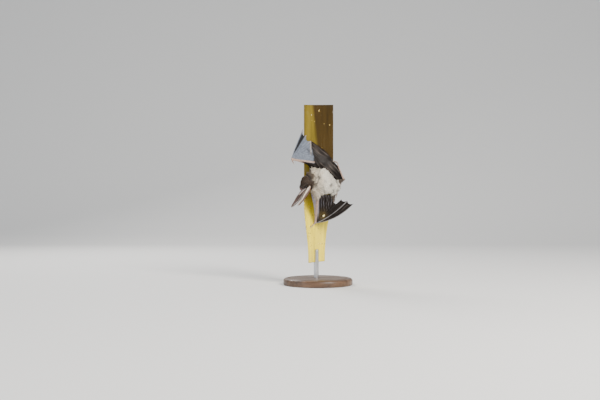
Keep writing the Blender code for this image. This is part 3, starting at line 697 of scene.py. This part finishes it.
# For each foot: its middle, the middle of its claws' roots, and each toe's end
toe_lines = {}
for side_name in ("left", "right"):
    instep = points_of(nodes["foot_" + side_name].data).mean(axis=0)
    toe_ends = []
    for claw in sorted(n for n in nodes if n.startswith("claw_" + side_name)):
        own = points_of(nodes[claw].data)
        nearest = own[np.argsort(np.linalg.norm(own - instep, axis=1))[:8]].mean(axis=0)
        toe_ends.append(nearest + (own.mean(axis=0) - nearest) * 0.35)
    toe_lines["foot_" + side_name] = (instep, np.mean(toe_ends, axis=0), toe_ends)

for name, members in LIMB_SKINS.items():
    side_name = name.split("_")[-1]
    swell, grain = GROWTH[name]
    piece = swollen_union(members, name, swell, grain, thin_skin)
    mesh = piece.data
    points = relaxed(mesh, points_of(mesh), 3)
    set_points(mesh, points)
    points = relaxed(mesh, points - normals_of(mesh) * (swell - 0.03 * MM), 2)
    set_points(mesh, points)
    bone = nearest_distance(points, BARE_BONES[name]) / MM
    body_gap = nearest_distance(points, FURRED) / MM
    finger = np.full(len(points), 99.0)
    pale_finger = np.zeros(len(points))
    if name in FINGERS:
        wrist = far_point("forearm_" + side_name, (-1, 0, 0) if side_name == "left" else (0, 0, -1))
    for tip, bow, paleness in FINGERS.get(name, ()):
        distance, reach = line_distance(points, wrist, np.array(tip) * MM, np.array(bow) * MM)
        finger = np.minimum(finger, distance / MM + 0.5 * reach)
        pale_finger = np.maximum(pale_finger, paleness * (1 - smooth_step(distance / MM, 0.4, 1.0)))
    loose = smooth_step(bone, 0.6, 3.5) * smooth_step(body_gap, 0.2, 2.5) * smooth_step(finger, 0.9, 3.0)
    x, y, z = (points / MM).T
    if name in FINGERS:  # the hand wing's folds fan out round the wrist
        turn = np.arctan2(x - wrist[0] / MM, z - wrist[2] / MM)
    if name == "wing_skin_left":
        long_folds = crests(0.67 * x + 0.74 * z, 4.2, points, 22 * MM, 31)
        panel_folds = crests(turn * 20, 2.6, points, 26 * MM, 32)
        on_panel = smooth_step(-x, 6, 10)
        folds = 1.1 * long_folds * (1 - on_panel) + 0.55 * panel_folds * on_panel
        folds = folds + 0.35 * wobble(points, 14 * MM, 33)
    elif name == "wing_skin_right":
        on_hand = smooth_step(x - 0.35 * (z - 100), 17, 21)
        pleat = np.sin(x * 1.9 + 0.9 * np.sin(z * 0.25) + 1.1 * wobble(points, 15 * MM, 37))
        pleat *= np.clip(0.65 + 0.6 * wobble(points, 11 * MM, 38), 0.1, 1)
        folds = 0.55 * pleat * smooth_step(z, 92, 106) * (1 - on_hand)
        folds = folds + 0.6 * crests(turn * 20, 2.4, points, 18 * MM, 34)
    else:
        folds = 0.6 * crests(y + 0.6 * z, 3.4, points, 18 * MM, 35) + 0.2 * wobble(points, 9 * MM, 36)
    across = np.array((0.0, -1.0, 0.0)) if name != "hind_skin" else np.array((0.6, 0.0, 0.8))
    points = points + across * ((folds - 0.2) * 0.75 * loose * MM)[:, None]
    points = points + normals_of(mesh) * (0.22 * MM * pale_finger)[:, None]
    set_points(mesh, points)
    mesh.shade_smooth()
    tone = np.tile(MEMBRANE_BROWN, (len(points), 1))
    # Painted highlight along the crests of the folds
    tone = blended(tone, CREST_HIGHLIGHT, np.clip(folds, 0, 1) ** 1.5 * loose)
    if name == "wing_skin_left":
        # Painted reflection: a slate-blue sheen with a ragged edge between the forearm and the fingers,
        # brighter on the crests of its folds
        ragged = 1.0 * wobble(points, 7 * MM, 5)
        sheen_panel = smooth_step(-x + 0.5 * ragged - 0.20 * (z - 178), 7.2, 9.4) * smooth_step(z, 158, 160)
        sheen_panel *= smooth_step(z - 161 + 0.141 * (x + 6.4), -0.8, 0.2)
        tone = blended(tone, SLATE_SHEEN, sheen_panel)
        tone = blended(tone, SLATE_SHEEN * 1.5, sheen_panel * panel_folds)
        # Painted shade: the membrane between the third and the fourth finger is painted near black
        third, fourth = (math.atan2(tip[0] - wrist[0] / MM, tip[2] - wrist[2] / MM)
                         for tip, _, _ in FINGERS[name][:2])
        between = (turn - third) / (fourth - third)
        finger_gap_shade = smooth_step(between, 0.10, 0.25) * (1 - smooth_step(between, 0.80, 1.0))
        tone = blended(tone, SLOT_SHADE, 0.95 * (finger_gap_shade * smooth_step(z, 168, 178)))
        # Painted highlight along a fold down the panel, painted shade in a soft wrinkle low on it, and a
        # faint painted highlight along a fold near the knee
        pale_fold_highlight = mound((x + 9.6 + 0.02 * (z - 176), 0.75)) * smooth_step(z, 170, 174)
        tone = blended(tone, FOLD_HIGHLIGHT, 0.85 * pale_fold_highlight * (1 - smooth_step(z, 189, 193)))
        wrinkle_ends = [np.array(end) * MM for end in ((-14.5, 0, 179.5), (-8.0, 0, 171.5))]
        wrinkle = line_distance(points * (1, 0, 1), *wrinkle_ends)[0]
        wrinkle = mound((wrinkle / MM, 1.6 + 0.6 * wobble(points, 4 * MM, 6)))
        tone = blended(tone, MEMBRANE_BROWN * 3, 0.5 * wrinkle)
        knee_fold_highlight = mound((x - 24.6 + 0.75 * (z - 154), 0.5)) * smooth_step(z, 146, 149)
        tone = blended(tone, FOLD_HIGHLIGHT, 0.28 * knee_fold_highlight * (1 - smooth_step(z, 157, 160)))
        elbow_end = far_point("forearm_left", (1, 0, 0)) * (1, 0, 1)
        arm_line = line_distance(points * (1, 0, 1), wrist * (1, 0, 1), elbow_end)[0] / MM
        tone = blended(tone, BONE_PINK, 0.9 * (1 - smooth_step(arm_line, 0.7, 1.5)) * (y < -6))
        tone = blended(tone, BONE_PINK, pale_finger)
    if name == "wing_skin_right":
        lilac = smooth_step(-x, -2.0, 1.0) * smooth_step(z, 84, 100)
        tone = blended(tone, MEMBRANE_LILAC, lilac)
        pleats = smooth_step(pleat, 0.2, 0.9) * smooth_step(z, 98, 110) * (1 - smooth_step(x, 17, 21))
        tone = blended(tone, PLEAT_GREY, 0.9 * pleats * (1 - lilac))
        # Painted light: the strip's yellow shining through a thin part of the skin
        shine_through = mound((x - 6, 5), (z - 92, 6)) * np.clip(0.8 + 0.35 * wobble(points, 5 * MM, 39), 0, 1)
        tone = blended(tone, SHINE_THROUGH_YELLOW, 0.8 * shine_through)
        tone = blended(tone, FINGER_GREY, pale_finger)
    tone = blended(tone, BONE_PINK, 1 - smooth_step(bone, 0.1, 0.9))
    for foot in [member for member in members if member.startswith("foot_")]:
        instep, roots_middle, _ = toe_lines[foot]
        foot_way = roots_middle - instep
        reach = (points - instep) @ foot_way / np.sum(foot_way ** 2)
        off_foot = nearest_distance(points, [foot]) / MM
        toe_part = smooth_step(reach, 0.25, 0.5) * (1 - smooth_step(off_foot, 0.2, 0.8))
        points = points - normals_of(mesh) * (0.25 * MM * toe_part)[:, None]
        # Painted shade on the foot's skin under and between the toes
        tone = tone * (1 - 0.6 * toe_part)[:, None]
        set_points(mesh, points)
    write_tone(mesh, tone)
    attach(piece, "root")
    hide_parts(*members)

# ------------------------ drop of glue on the wing
# One thick pale drop of glossy glue: a flattened and slightly bent ball that has run onto the right
# wing and is stuck to its skin.
pale_glue, drop_shader = new_finish("pale_glue", (0.90, 0.80, 0.42), 0.12,
                                    {"Coat Weight": 0.8, "Coat Roughness": 0.05})
drop_depth = add_noise(drop_shader, 900, 3)
feed(drop_shader, "Base Color", add_ramp(drop_depth, (0.3, (0.84, 0.70, 0.26)), (0.7, (0.96, 0.90, 0.56))))
DROP_PLACE = np.array((7.3, 91.8)) * MM  # x and z
right_wing = points_of(bpy.data.objects["wing_skin_right"].data)
under_drop = right_wing[np.linalg.norm(right_wing[:, (0, 2)] - DROP_PLACE, axis=1) < 0.8 * MM]
drop_spot = Vector((DROP_PLACE[0], under_drop[:, 1].min(), DROP_PLACE[1]))
drop = bmesh.new()
DROP_HALF_SIZES = (1.7 * MM, 0.55 * MM, 1.05 * MM)
drop_turn = Matrix.Rotation(math.radians(-48), 4, "Y") @ Matrix.Diagonal((*DROP_HALF_SIZES, 1.0))
bmesh.ops.create_icosphere(drop, subdivisions=4, radius=1.0, matrix=Matrix.Translation(drop_spot) @ drop_turn)
for v in drop.verts:
    v.co.x += 0.18 * MM * math.sin(v.co.z / MM * 2.1)
glue_drop = object_from(drop, "glue_drop", pale_glue)
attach(glue_drop, "root")

# ------------------------ toes
# Five slim toes on each foot, of the same bare skin as the shin: tapered rods that run from the
# instep into the roots of the claws.
toe_rods = bmesh.new()
for instep, roots_middle, toe_ends in toe_lines.values():
    for toe_end in toe_ends:
        start = instep + (toe_end - roots_middle) * 0.55 + (roots_middle - instep) * 0.12
        way = Vector(toe_end - start)
        turn = way.to_track_quat("Z", "Y").to_matrix().to_4x4()
        for share, thick in ((0.0, 0.44), (0.5, 0.40)):
            place = Matrix.Translation(Vector(start) + way * (share + 0.27)) @ turn
            bmesh.ops.create_cone(toe_rods, cap_ends=True, segments=12, radius1=thick * MM,
                                  radius2=(thick - 0.08) * MM, depth=way.length * 0.54, matrix=place)
            knuckle = Matrix.Translation(Vector(start) + way * (share + 0.02))
            bmesh.ops.create_icosphere(toe_rods, subdivisions=2, radius=(thick + 0.02) * MM, matrix=knuckle)
toes = object_from(toe_rods, "toes", thin_skin)
toe_points = points_of(toes.data)
write_tone(toes.data, BONE_PINK * (0.85 + 0.15 * wobble(toe_points, 2 * MM, 41))[:, None])
toes.data.set_sharp_from_angle(angle=math.radians(60))
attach(toes, "root")

# ------------------------ ears
# Very long thin ears of bare pinkish-brown skin with two dozen cross ribs, each with a slim upright
# lobe. Each is its solid made smooth, with its root drawn narrow and sunk into the head.
ear_leaf, ear_shader = new_finish("ear_leaf", (0.30, 0.19, 0.15), 0.48, {"Specular IOR Level": 0.3})
ear_veins = add_noise(ear_shader, 700, 6, rough=0.65)
ear_shade = add_ramp(ear_veins, (0.35, grey(0.7)), (0.6, grey(1.15)))
feed(ear_shader, "Base Color", multiplied(tone_of(ear_shader), ear_shade))
add_bump(ear_shader, ear_veins, 0.35, 0.0003)
EAR_BROWN = np.array((0.115, 0.068, 0.050))
EAR_PINK = np.array((0.36, 0.215, 0.17))
EAR_RIM_HIGHLIGHT = np.array((0.66, 0.58, 0.49))
RIB_COUNT = 23
SLICES = 30  # cuts across an ear at which its width is read

for side_name in ("left", "right"):
    for kind in ("ear", "tragus"):
        node = f"{kind}_{side_name}"
        shell = welded([node])
        joined_quads(shell, 0.7, 1.3)
        piece = object_from(shell, f"{kind}_leaf_{side_name}", ear_leaf)
        subdivided(piece, 3 if kind == "ear" else 2)
        mesh = apply_modifiers(piece)
        points = points_of(mesh)
        centre = points.mean(axis=0)
        tip = points[np.argmax(np.linalg.norm(points - brow, axis=1))]
        length_way = (tip - brow) / np.linalg.norm(tip - brow)
        height = (points - brow) @ length_way
        share = (height - height.min()) / (height.max() - height.min())
        sink = np.clip(1 - share / 0.10, 0, 1) * 2.4 * MM
        points = points - length_way * sink[:, None]
        narrow = 0.55 + 0.45 * smooth_step(share, 0.0, 0.30)
        axis_point = brow + np.outer((points - brow) @ length_way, length_way)
        root = points[share < 0.08].mean(axis=0) - brow
        root_offset = root - length_way * (root @ length_way)
        points = axis_point + root_offset + (points - axis_point - root_offset) * narrow[:, None]
        set_points(mesh, points)
        spread = points - centre - np.outer((points - centre) @ length_way, length_way)
        across_way = np.linalg.eigh(spread.T @ spread)[1][:, 2]
        sideways = spread @ across_way
        slices = np.clip((share * SLICES).astype(int), 0, SLICES - 1)
        widest = np.array([[sideways[slices == k].min(), sideways[slices == k].max()] if (slices == k).any()
                           else [-1e-3, 1e-3] for k in range(SLICES)])
        middle, half = widest.mean(axis=1)[slices], (np.ptp(widest, axis=1) / 2)[slices]
        breadth = np.abs(sideways - middle) / half  # 0 in the ear's middle and 1 at its rim
        rim_share = np.maximum(smooth_step(breadth, 0.80, 0.96), smooth_step(share, 0.965, 0.99))
        normals = normals_of(mesh)
        if kind == "ear":
            ribs = np.sin(share * RIB_COUNT * math.tau + 1.5 * np.abs(sideways - middle) / half)
            ribs *= smooth_step(share, 0.15, 0.3) * (1 - smooth_step(share, 0.9, 1)) * (1 - rim_share)
            opening = np.cross(across_way, length_way)
            opening *= np.sign(opening @ (brow + head_front * 0.03 - centre))
            inner = smooth_step(normals @ opening, -0.2, 0.2)
            points = points + normals * (0.10 * ribs * (2 * inner - 1) * MM)[:, None]
            set_points(mesh, points)
            # Painted shade: the left ear is painted at about half the brightness of the right
            ear_painted_shade = 1.0 if side_name == "right" else 0.52
            tone = np.tile(EAR_BROWN * ear_painted_shade, (len(points), 1))
            near_root = 1 - smooth_step(share, 0.1, 0.45)
            tone = blended(tone, EAR_PINK * ear_painted_shade, 0.45 * inner + 0.22 * ribs + 0.5 * near_root)
            # Painted highlight along the ear's rim and tip
            tone = blended(tone, EAR_RIM_HIGHLIGHT * ear_painted_shade, 0.85 * rim_share)
        else:
            # Painted highlight along the tragus's rim
            tone = blended(np.tile(EAR_PINK, (len(points), 1)), EAR_RIM_HIGHLIGHT, 0.5 * rim_share)
        write_tone(mesh, tone)
        mesh.shade_smooth()
        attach(piece, "root")
        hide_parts(node)

# ------------------------ claws
# Curved hooks of pale glossy horn, one on each thumb and toe. They are the claws' solids made
# smooth, and moved a little towards the thumb or foot so that their roots sit in its skin.
horn, horn_shader = new_finish("horn", (0.45, 0.36, 0.27), 0.3, {"Coat Weight": 0.3})
horn_lines = add_noise(horn_shader, 2200, 4, (1, 1, 0.3))
feed(horn_shader, "Base Color", add_ramp(horn_lines, (0.3, (0.34, 0.25, 0.18)), (0.7, (0.62, 0.53, 0.42))))
CLAW_SINK = 0.5 * MM
claw_nodes = sorted(n for n in nodes if n.startswith("claw_"))
hooks = bmesh.new()
for name in claw_nodes:
    hook = welded([name])
    hook.normal_update()
    owner = "thumb_" + name.split("_")[-1] if "thumb" in name else "foot_" + name.split("_")[1]
    middle = sum((v.co for v in hook.verts), Vector()) / len(hook.verts)
    owner_middle = sum(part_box(owner), Vector()) / 2
    inward = (owner_middle - middle).normalized()
    for v in hook.verts:
        v.co += inward * CLAW_SINK
    mesh = bpy.data.meshes.new("hook")
    hook.to_mesh(mesh)
    hook.free()
    hooks.from_mesh(mesh)
    bpy.data.meshes.remove(mesh)
claws = object_from(hooks, "claws", horn)
subdivided(claws, 2)
apply_modifiers(claws).shade_smooth()
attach(claws, "root")
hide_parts(*claw_nodes)

# ------------------------ coat
# Dense soft fur in overlapping tufts. Each tuft is a thin solid lock, rooted in the skin, that
# follows the lie of the coat from the nose to the tail and out along the limbs.
LAY_TARGET = {name: np.array(sum(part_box(name), Vector()) / 2) for name in FURRED}
rump = far_point("trunk", (1, 0, -0.2))
elbow = {"left": far_point("upper_arm_left", (0, 0, 1)),
         "right": far_point("upper_arm_right", (0.4, -0.4, -1))}
knee = {"left": far_point("thigh_left", (1, -0.3, 0.2)), "right": far_point("thigh_right", (0, -0.4, -1))}
TAILWARD = (rump - brow) / np.linalg.norm(rump - brow)


def unit(rows):
    """Rows drawn to length 1."""
    return rows / np.maximum(np.linalg.norm(rows, axis=1), 1e-9)[:, None]


def lie_of_coat(points, normals, parts):
    """The way that hair lies on the skin at each point."""
    middle = LAY_TARGET["trunk"]
    away = points - middle
    away -= np.outer(away @ TAILWARD, TAILWARD)
    trunk_way = TAILWARD + 28 * away * 0.8
    ways = [np.tile(-head_front, (len(points), 1)), np.tile(TAILWARD, (len(points), 1)), trunk_way]
    for end in (*elbow.values(), *knee.values()):
        ways.append(unit(end + (end - middle) - points))
    lie = sum(parts[:, i : i + 1] * unit(way) for i, way in enumerate(ways))
    lie = lie + 0.22 * np.stack([wobble(points, 6 * MM, k) for k in (11, 12, 13)], axis=1)
    lie -= normals * np.sum(lie * normals, axis=1)[:, None]
    return unit(lie)


# Where each part's patch lies on the coat's flat unwrap: its low and its high corner
ATLAS = {"trunk": (0.0, 0.0, 0.62, 0.62), "head": (0.64, 0.0, 1.0, 0.36), "neck": (0.64, 0.38, 1.0, 0.62),
         "upper_arm_left": (0.0, 0.64, 0.24, 1.0), "upper_arm_right": (0.25, 0.64, 0.49, 1.0),
         "thigh_left": (0.5, 0.64, 0.74, 1.0), "thigh_right": (0.75, 0.64, 0.99, 1.0)}
ATLAS_AXIS = {"trunk": TAILWARD, "head": head_front, "neck": TAILWARD}
for limb, ends in (("upper_arm_", elbow), ("thigh_", knee)):
    for s, end in ends.items():
        ATLAS_AXIS[limb + s] = unit((end - LAY_TARGET["trunk"])[None])[0]


def unwrapped(points, owner):
    """Each point's place on a flat unwrap of the skin: round its part's axis, and along it."""
    made = np.zeros((len(points), 2))
    for column, name in enumerate(FURRED):
        mine = owner == column
        if not mine.any():
            continue
        axis = ATLAS_AXIS[name]
        first = np.cross(axis, (0.0, 0.0, 1.0))
        first /= np.linalg.norm(first)
        second = np.cross(axis, first)
        offset = points[mine] - LAY_TARGET[name]
        turn = np.arctan2(offset @ second, offset @ first) / math.tau + 0.5
        length = offset @ axis
        reach = points_of(nodes[name].data) @ axis
        start = reach.min() - LAY_TARGET[name] @ axis
        end = reach.max() - LAY_TARGET[name] @ axis
        u0, v0, u1, v1 = ATLAS[name]
        made[mine, 0] = u0 + (u1 - u0) * (0.02 + 0.96 * turn)
        made[mine, 1] = v0 + (v1 - v0) * (0.02 + 0.96 * np.clip((length - start) / (end - start), 0, 1))
    return made


body_mesh.calc_loop_triangles()
corners = read_rows(body_mesh.loop_triangles, "vertices", np.int64)
first, second, third = (skin_points[corners[:, k]] for k in range(3))
areas = np.linalg.norm(np.cross(second - first, third - first), axis=1)

fur, fur_shader = new_finish("fur", (0.5, 0.45, 0.4), 0.72, {
    "Sheen Weight": 0.10, "Sheen Roughness": 0.5, "Specular IOR Level": 0.25})
fur_shade = add_ramp(add_noise(fur_shader, 1300, 3), (0.3, grey(0.80)), (0.7, grey(1.10)))
feed(fur_shader, "Base Color", multiplied(tone_of(fur_shader), fur_shade))

# A lock is three rings of three points and a tip: how far along it each ring is, and how wide
LOCK_RINGS = np.array((0.0, 0.38, 0.74))
LOCK_WIDTHS = np.array((0.75, 1.0, 0.62))
RING_CORNERS = ((-0.5, -0.18), (0.5, -0.18), (0.0, 0.36))  # sideways and outwards, in widths
LOCK_POINTS = 10
LOCKS_PER_LEADER = 14  # about this many locks lean together towards one of them
PATCH = 0.003  # breadth of each lock's own patch on the unwrap
SUNK = 0.15 * MM  # how deep a lock's root is in the skin


def grow_coat(name, weights, count, length, width, rise, seed):
    """count locks on the skin where weights are, with a length, width and rise for each root."""
    random = np.random.default_rng(seed)
    chance = areas * weights[corners].mean(axis=1)
    picked = random.choice(len(corners), size=count, p=chance / chance.sum())
    mixed = random.dirichlet((1, 1, 1), size=count)
    roots = np.einsum("ij,ijk->ik", mixed, skin_points[corners[picked]])
    out = unit(np.einsum("ij,ijk->ik", mixed, skin_normals[corners[picked]]))
    parts = np.einsum("ij,ijk->ik", mixed, shares[corners[picked]])
    lie = lie_of_coat(roots, out, parts)
    sideways = np.cross(out, lie)
    stray = random.normal(size=(count, 1))
    lie = unit(lie + sideways * stray * 0.20)
    sideways = np.cross(out, lie)
    long = length(roots, parts)[:, None] * random.uniform(0.78, 1.15, size=(count, 1))
    wide = width(roots, parts)[:, None] * random.uniform(0.75, 1.25, size=(count, 1))
    high = rise(roots, parts)[:, None] * random.uniform(0.7, 1.1, size=(count, 1))
    curl = random.normal(size=(count, 1)) * 0.10
    leaders = random.choice(count, size=max(count // LOCKS_PER_LEADER, 1), replace=False)
    search = kdtree.KDTree(len(leaders))
    for i, leader in enumerate(leaders):
        search.insert(roots[leader], i)
    search.balance()
    leader = leaders[[search.find(root)[1] for root in roots]]
    lean = (roots[leader] + lie[leader] * long[leader]) - (roots + lie * long)
    lean -= out * np.sum(lean * out, axis=1)[:, None]
    lean *= np.minimum(1, 0.35 * long / np.maximum(np.linalg.norm(lean, axis=1), 1e-6)[:, None]) * 0.75
    verts = np.zeros((count, LOCK_POINTS, 3))
    for ring, (s, w) in enumerate(zip(LOCK_RINGS, LOCK_WIDTHS)):
        arch = high * (1.55 * s - 0.62 * s * s) * 1.05
        centre = roots - out * SUNK * (ring == 0) + lie * long * s + out * arch
        centre = centre + sideways * long * curl * s * s + lean * s ** 1.5
        for k, (a, b) in enumerate(RING_CORNERS):
            verts[:, ring * 3 + k] = centre + sideways * wide * w * a + out * wide * w * b
    verts[:, 9] = roots + lie * long + out * high * 0.93 + sideways * long * curl + lean
    faces = [(r + k, r + (k + 1) % 3, r + 3 + (k + 1) % 3, r + 3 + k) for r in (0, 3) for k in range(3)]
    faces += [(6 + k, 6 + (k + 1) % 3, 9) for k in range(3)] + [(2, 1, 0)]
    sizes = np.tile([len(f) for f in faces], count)
    flat = np.concatenate([np.array(f) for f in faces])
    loops = (flat[None, :] + np.arange(count)[:, None] * LOCK_POINTS).ravel()
    mesh = bpy.data.meshes.new(name)
    mesh.vertices.add(count * LOCK_POINTS)
    mesh.vertices.foreach_set("co", verts.ravel())
    mesh.loops.add(len(loops))
    mesh.loops.foreach_set("vertex_index", loops)
    mesh.polygons.add(len(sizes))
    mesh.polygons.foreach_set("loop_start", np.concatenate([[0], np.cumsum(sizes)[:-1]]))
    mesh.polygons.foreach_set("loop_total", sizes)
    mesh.update(calc_edges=True)
    place = unwrapped(roots, parts.argmax(axis=1))
    heights = np.array([0.0] * 3 + [0.38] * 3 + [0.74] * 3 + [1.0])
    breadths = np.array([0.0, 1.0, 0.5] * 3 + [0.5])
    uv = place[:, None, :] + PATCH * (np.stack([breadths, heights], axis=1)[None] - 0.5)
    layer = mesh.uv_layers.new(name="OFBake")
    layer.uv.foreach_set("vector", uv.reshape(-1, 2)[loops].ravel())
    tips = coat_tone(roots + lie * long * 0.55, parts) * random.uniform(0.84, 1.05, size=(count, 1))
    paleness = np.array([0.05] * 3 + [0.55] * 3 + [0.95] * 3 + [1.0])[None, :, None]
    colours = ROOT_DARK * (1 - paleness) + tips[:, None, :] * paleness
    write_tone(mesh, colours.reshape(-1, 3))
    mesh.materials.append(fur)
    mesh.shade_smooth()
    piece = add_object(name, mesh)
    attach(piece, "root")


def by_part(*values):
    """A size that blends between the furred nodes, given in their order in millimetres."""
    return lambda roots, parts: parts @ np.array(values) * MM


def face_sized(base, on_nose):
    """The same, shrinking to on_nose at the muzzle."""
    def size(roots, parts):
        forward = in_head(roots)[0]
        face = smooth_step(forward, -4.0, 4.0) * parts[:, 0]
        near_eye = 0.35 + 0.65 * smooth_step(eye_gap(roots), 1.6, 4.0)
        return (base(roots, parts) * (1 - face) + on_nose * MM * face) * near_eye
    return size


hair_length = face_sized(by_part(6.0, 7.2, 7.2, 5.6, 5.6, 3.4, 3.4), 1.3)
hair_width = face_sized(by_part(0.34, 0.38, 0.39, 0.36, 0.36, 0.30, 0.30), 0.19)
hair_rise = face_sized(by_part(1.5, 1.7, 2.3, 1.5, 1.5, 0.7, 0.7), 0.22)
no_nostril = (1 - smooth_step(nose_ahead, -1.7, -1.0)) * (1 - 0.9 * np.clip(lips, 0, 1))
no_eye = smooth_step(eye_distance, 1.3, 1.75)
on_trunk = shares[:, 2]
front_half = smooth_step(-skin_points[:, 1] / MM, 8.5, 9.5)
head_half = smooth_step(-skin_points[:, 0] / MM, -9.2, -8.8)
whisker_roots = shares[:, 0] * smooth_step(nose_ahead, -5.0, -3.0) * (1 - smooth_step(nose_ahead, -1.8, -1.0))


def grow_fur(name, weights, count, seed):
    """A piece of the coat, with the lengths, widths and rises of hair."""
    grow_coat(name, weights, count, hair_length, hair_width, hair_rise, seed)


def constant(size):
    """The same size at each root, in millimetres."""
    return lambda roots, parts: np.full(len(roots), size * MM)


grow_fur("coat_chest", on_trunk * front_half * head_half, 12000, 1)
grow_fur("coat_belly", on_trunk * front_half * (1 - head_half), 12000, 2)
grow_fur("coat_flank", on_trunk * (1 - front_half), 12000, 3)
grow_fur("coat_head", shares[:, 0] * no_nostril * no_eye, 12000, 4)
grow_coat("coat_whiskers", whisker_roots, 70, constant(3.4), constant(0.07), constant(1.9), 8)
grow_fur("coat_neck", shares[:, 1], 7000, 5)
grow_fur("coat_arms", shares[:, 3] + shares[:, 4], 11000, 6)
grow_fur("coat_thighs", shares[:, 5] + shares[:, 6], 6000, 7)
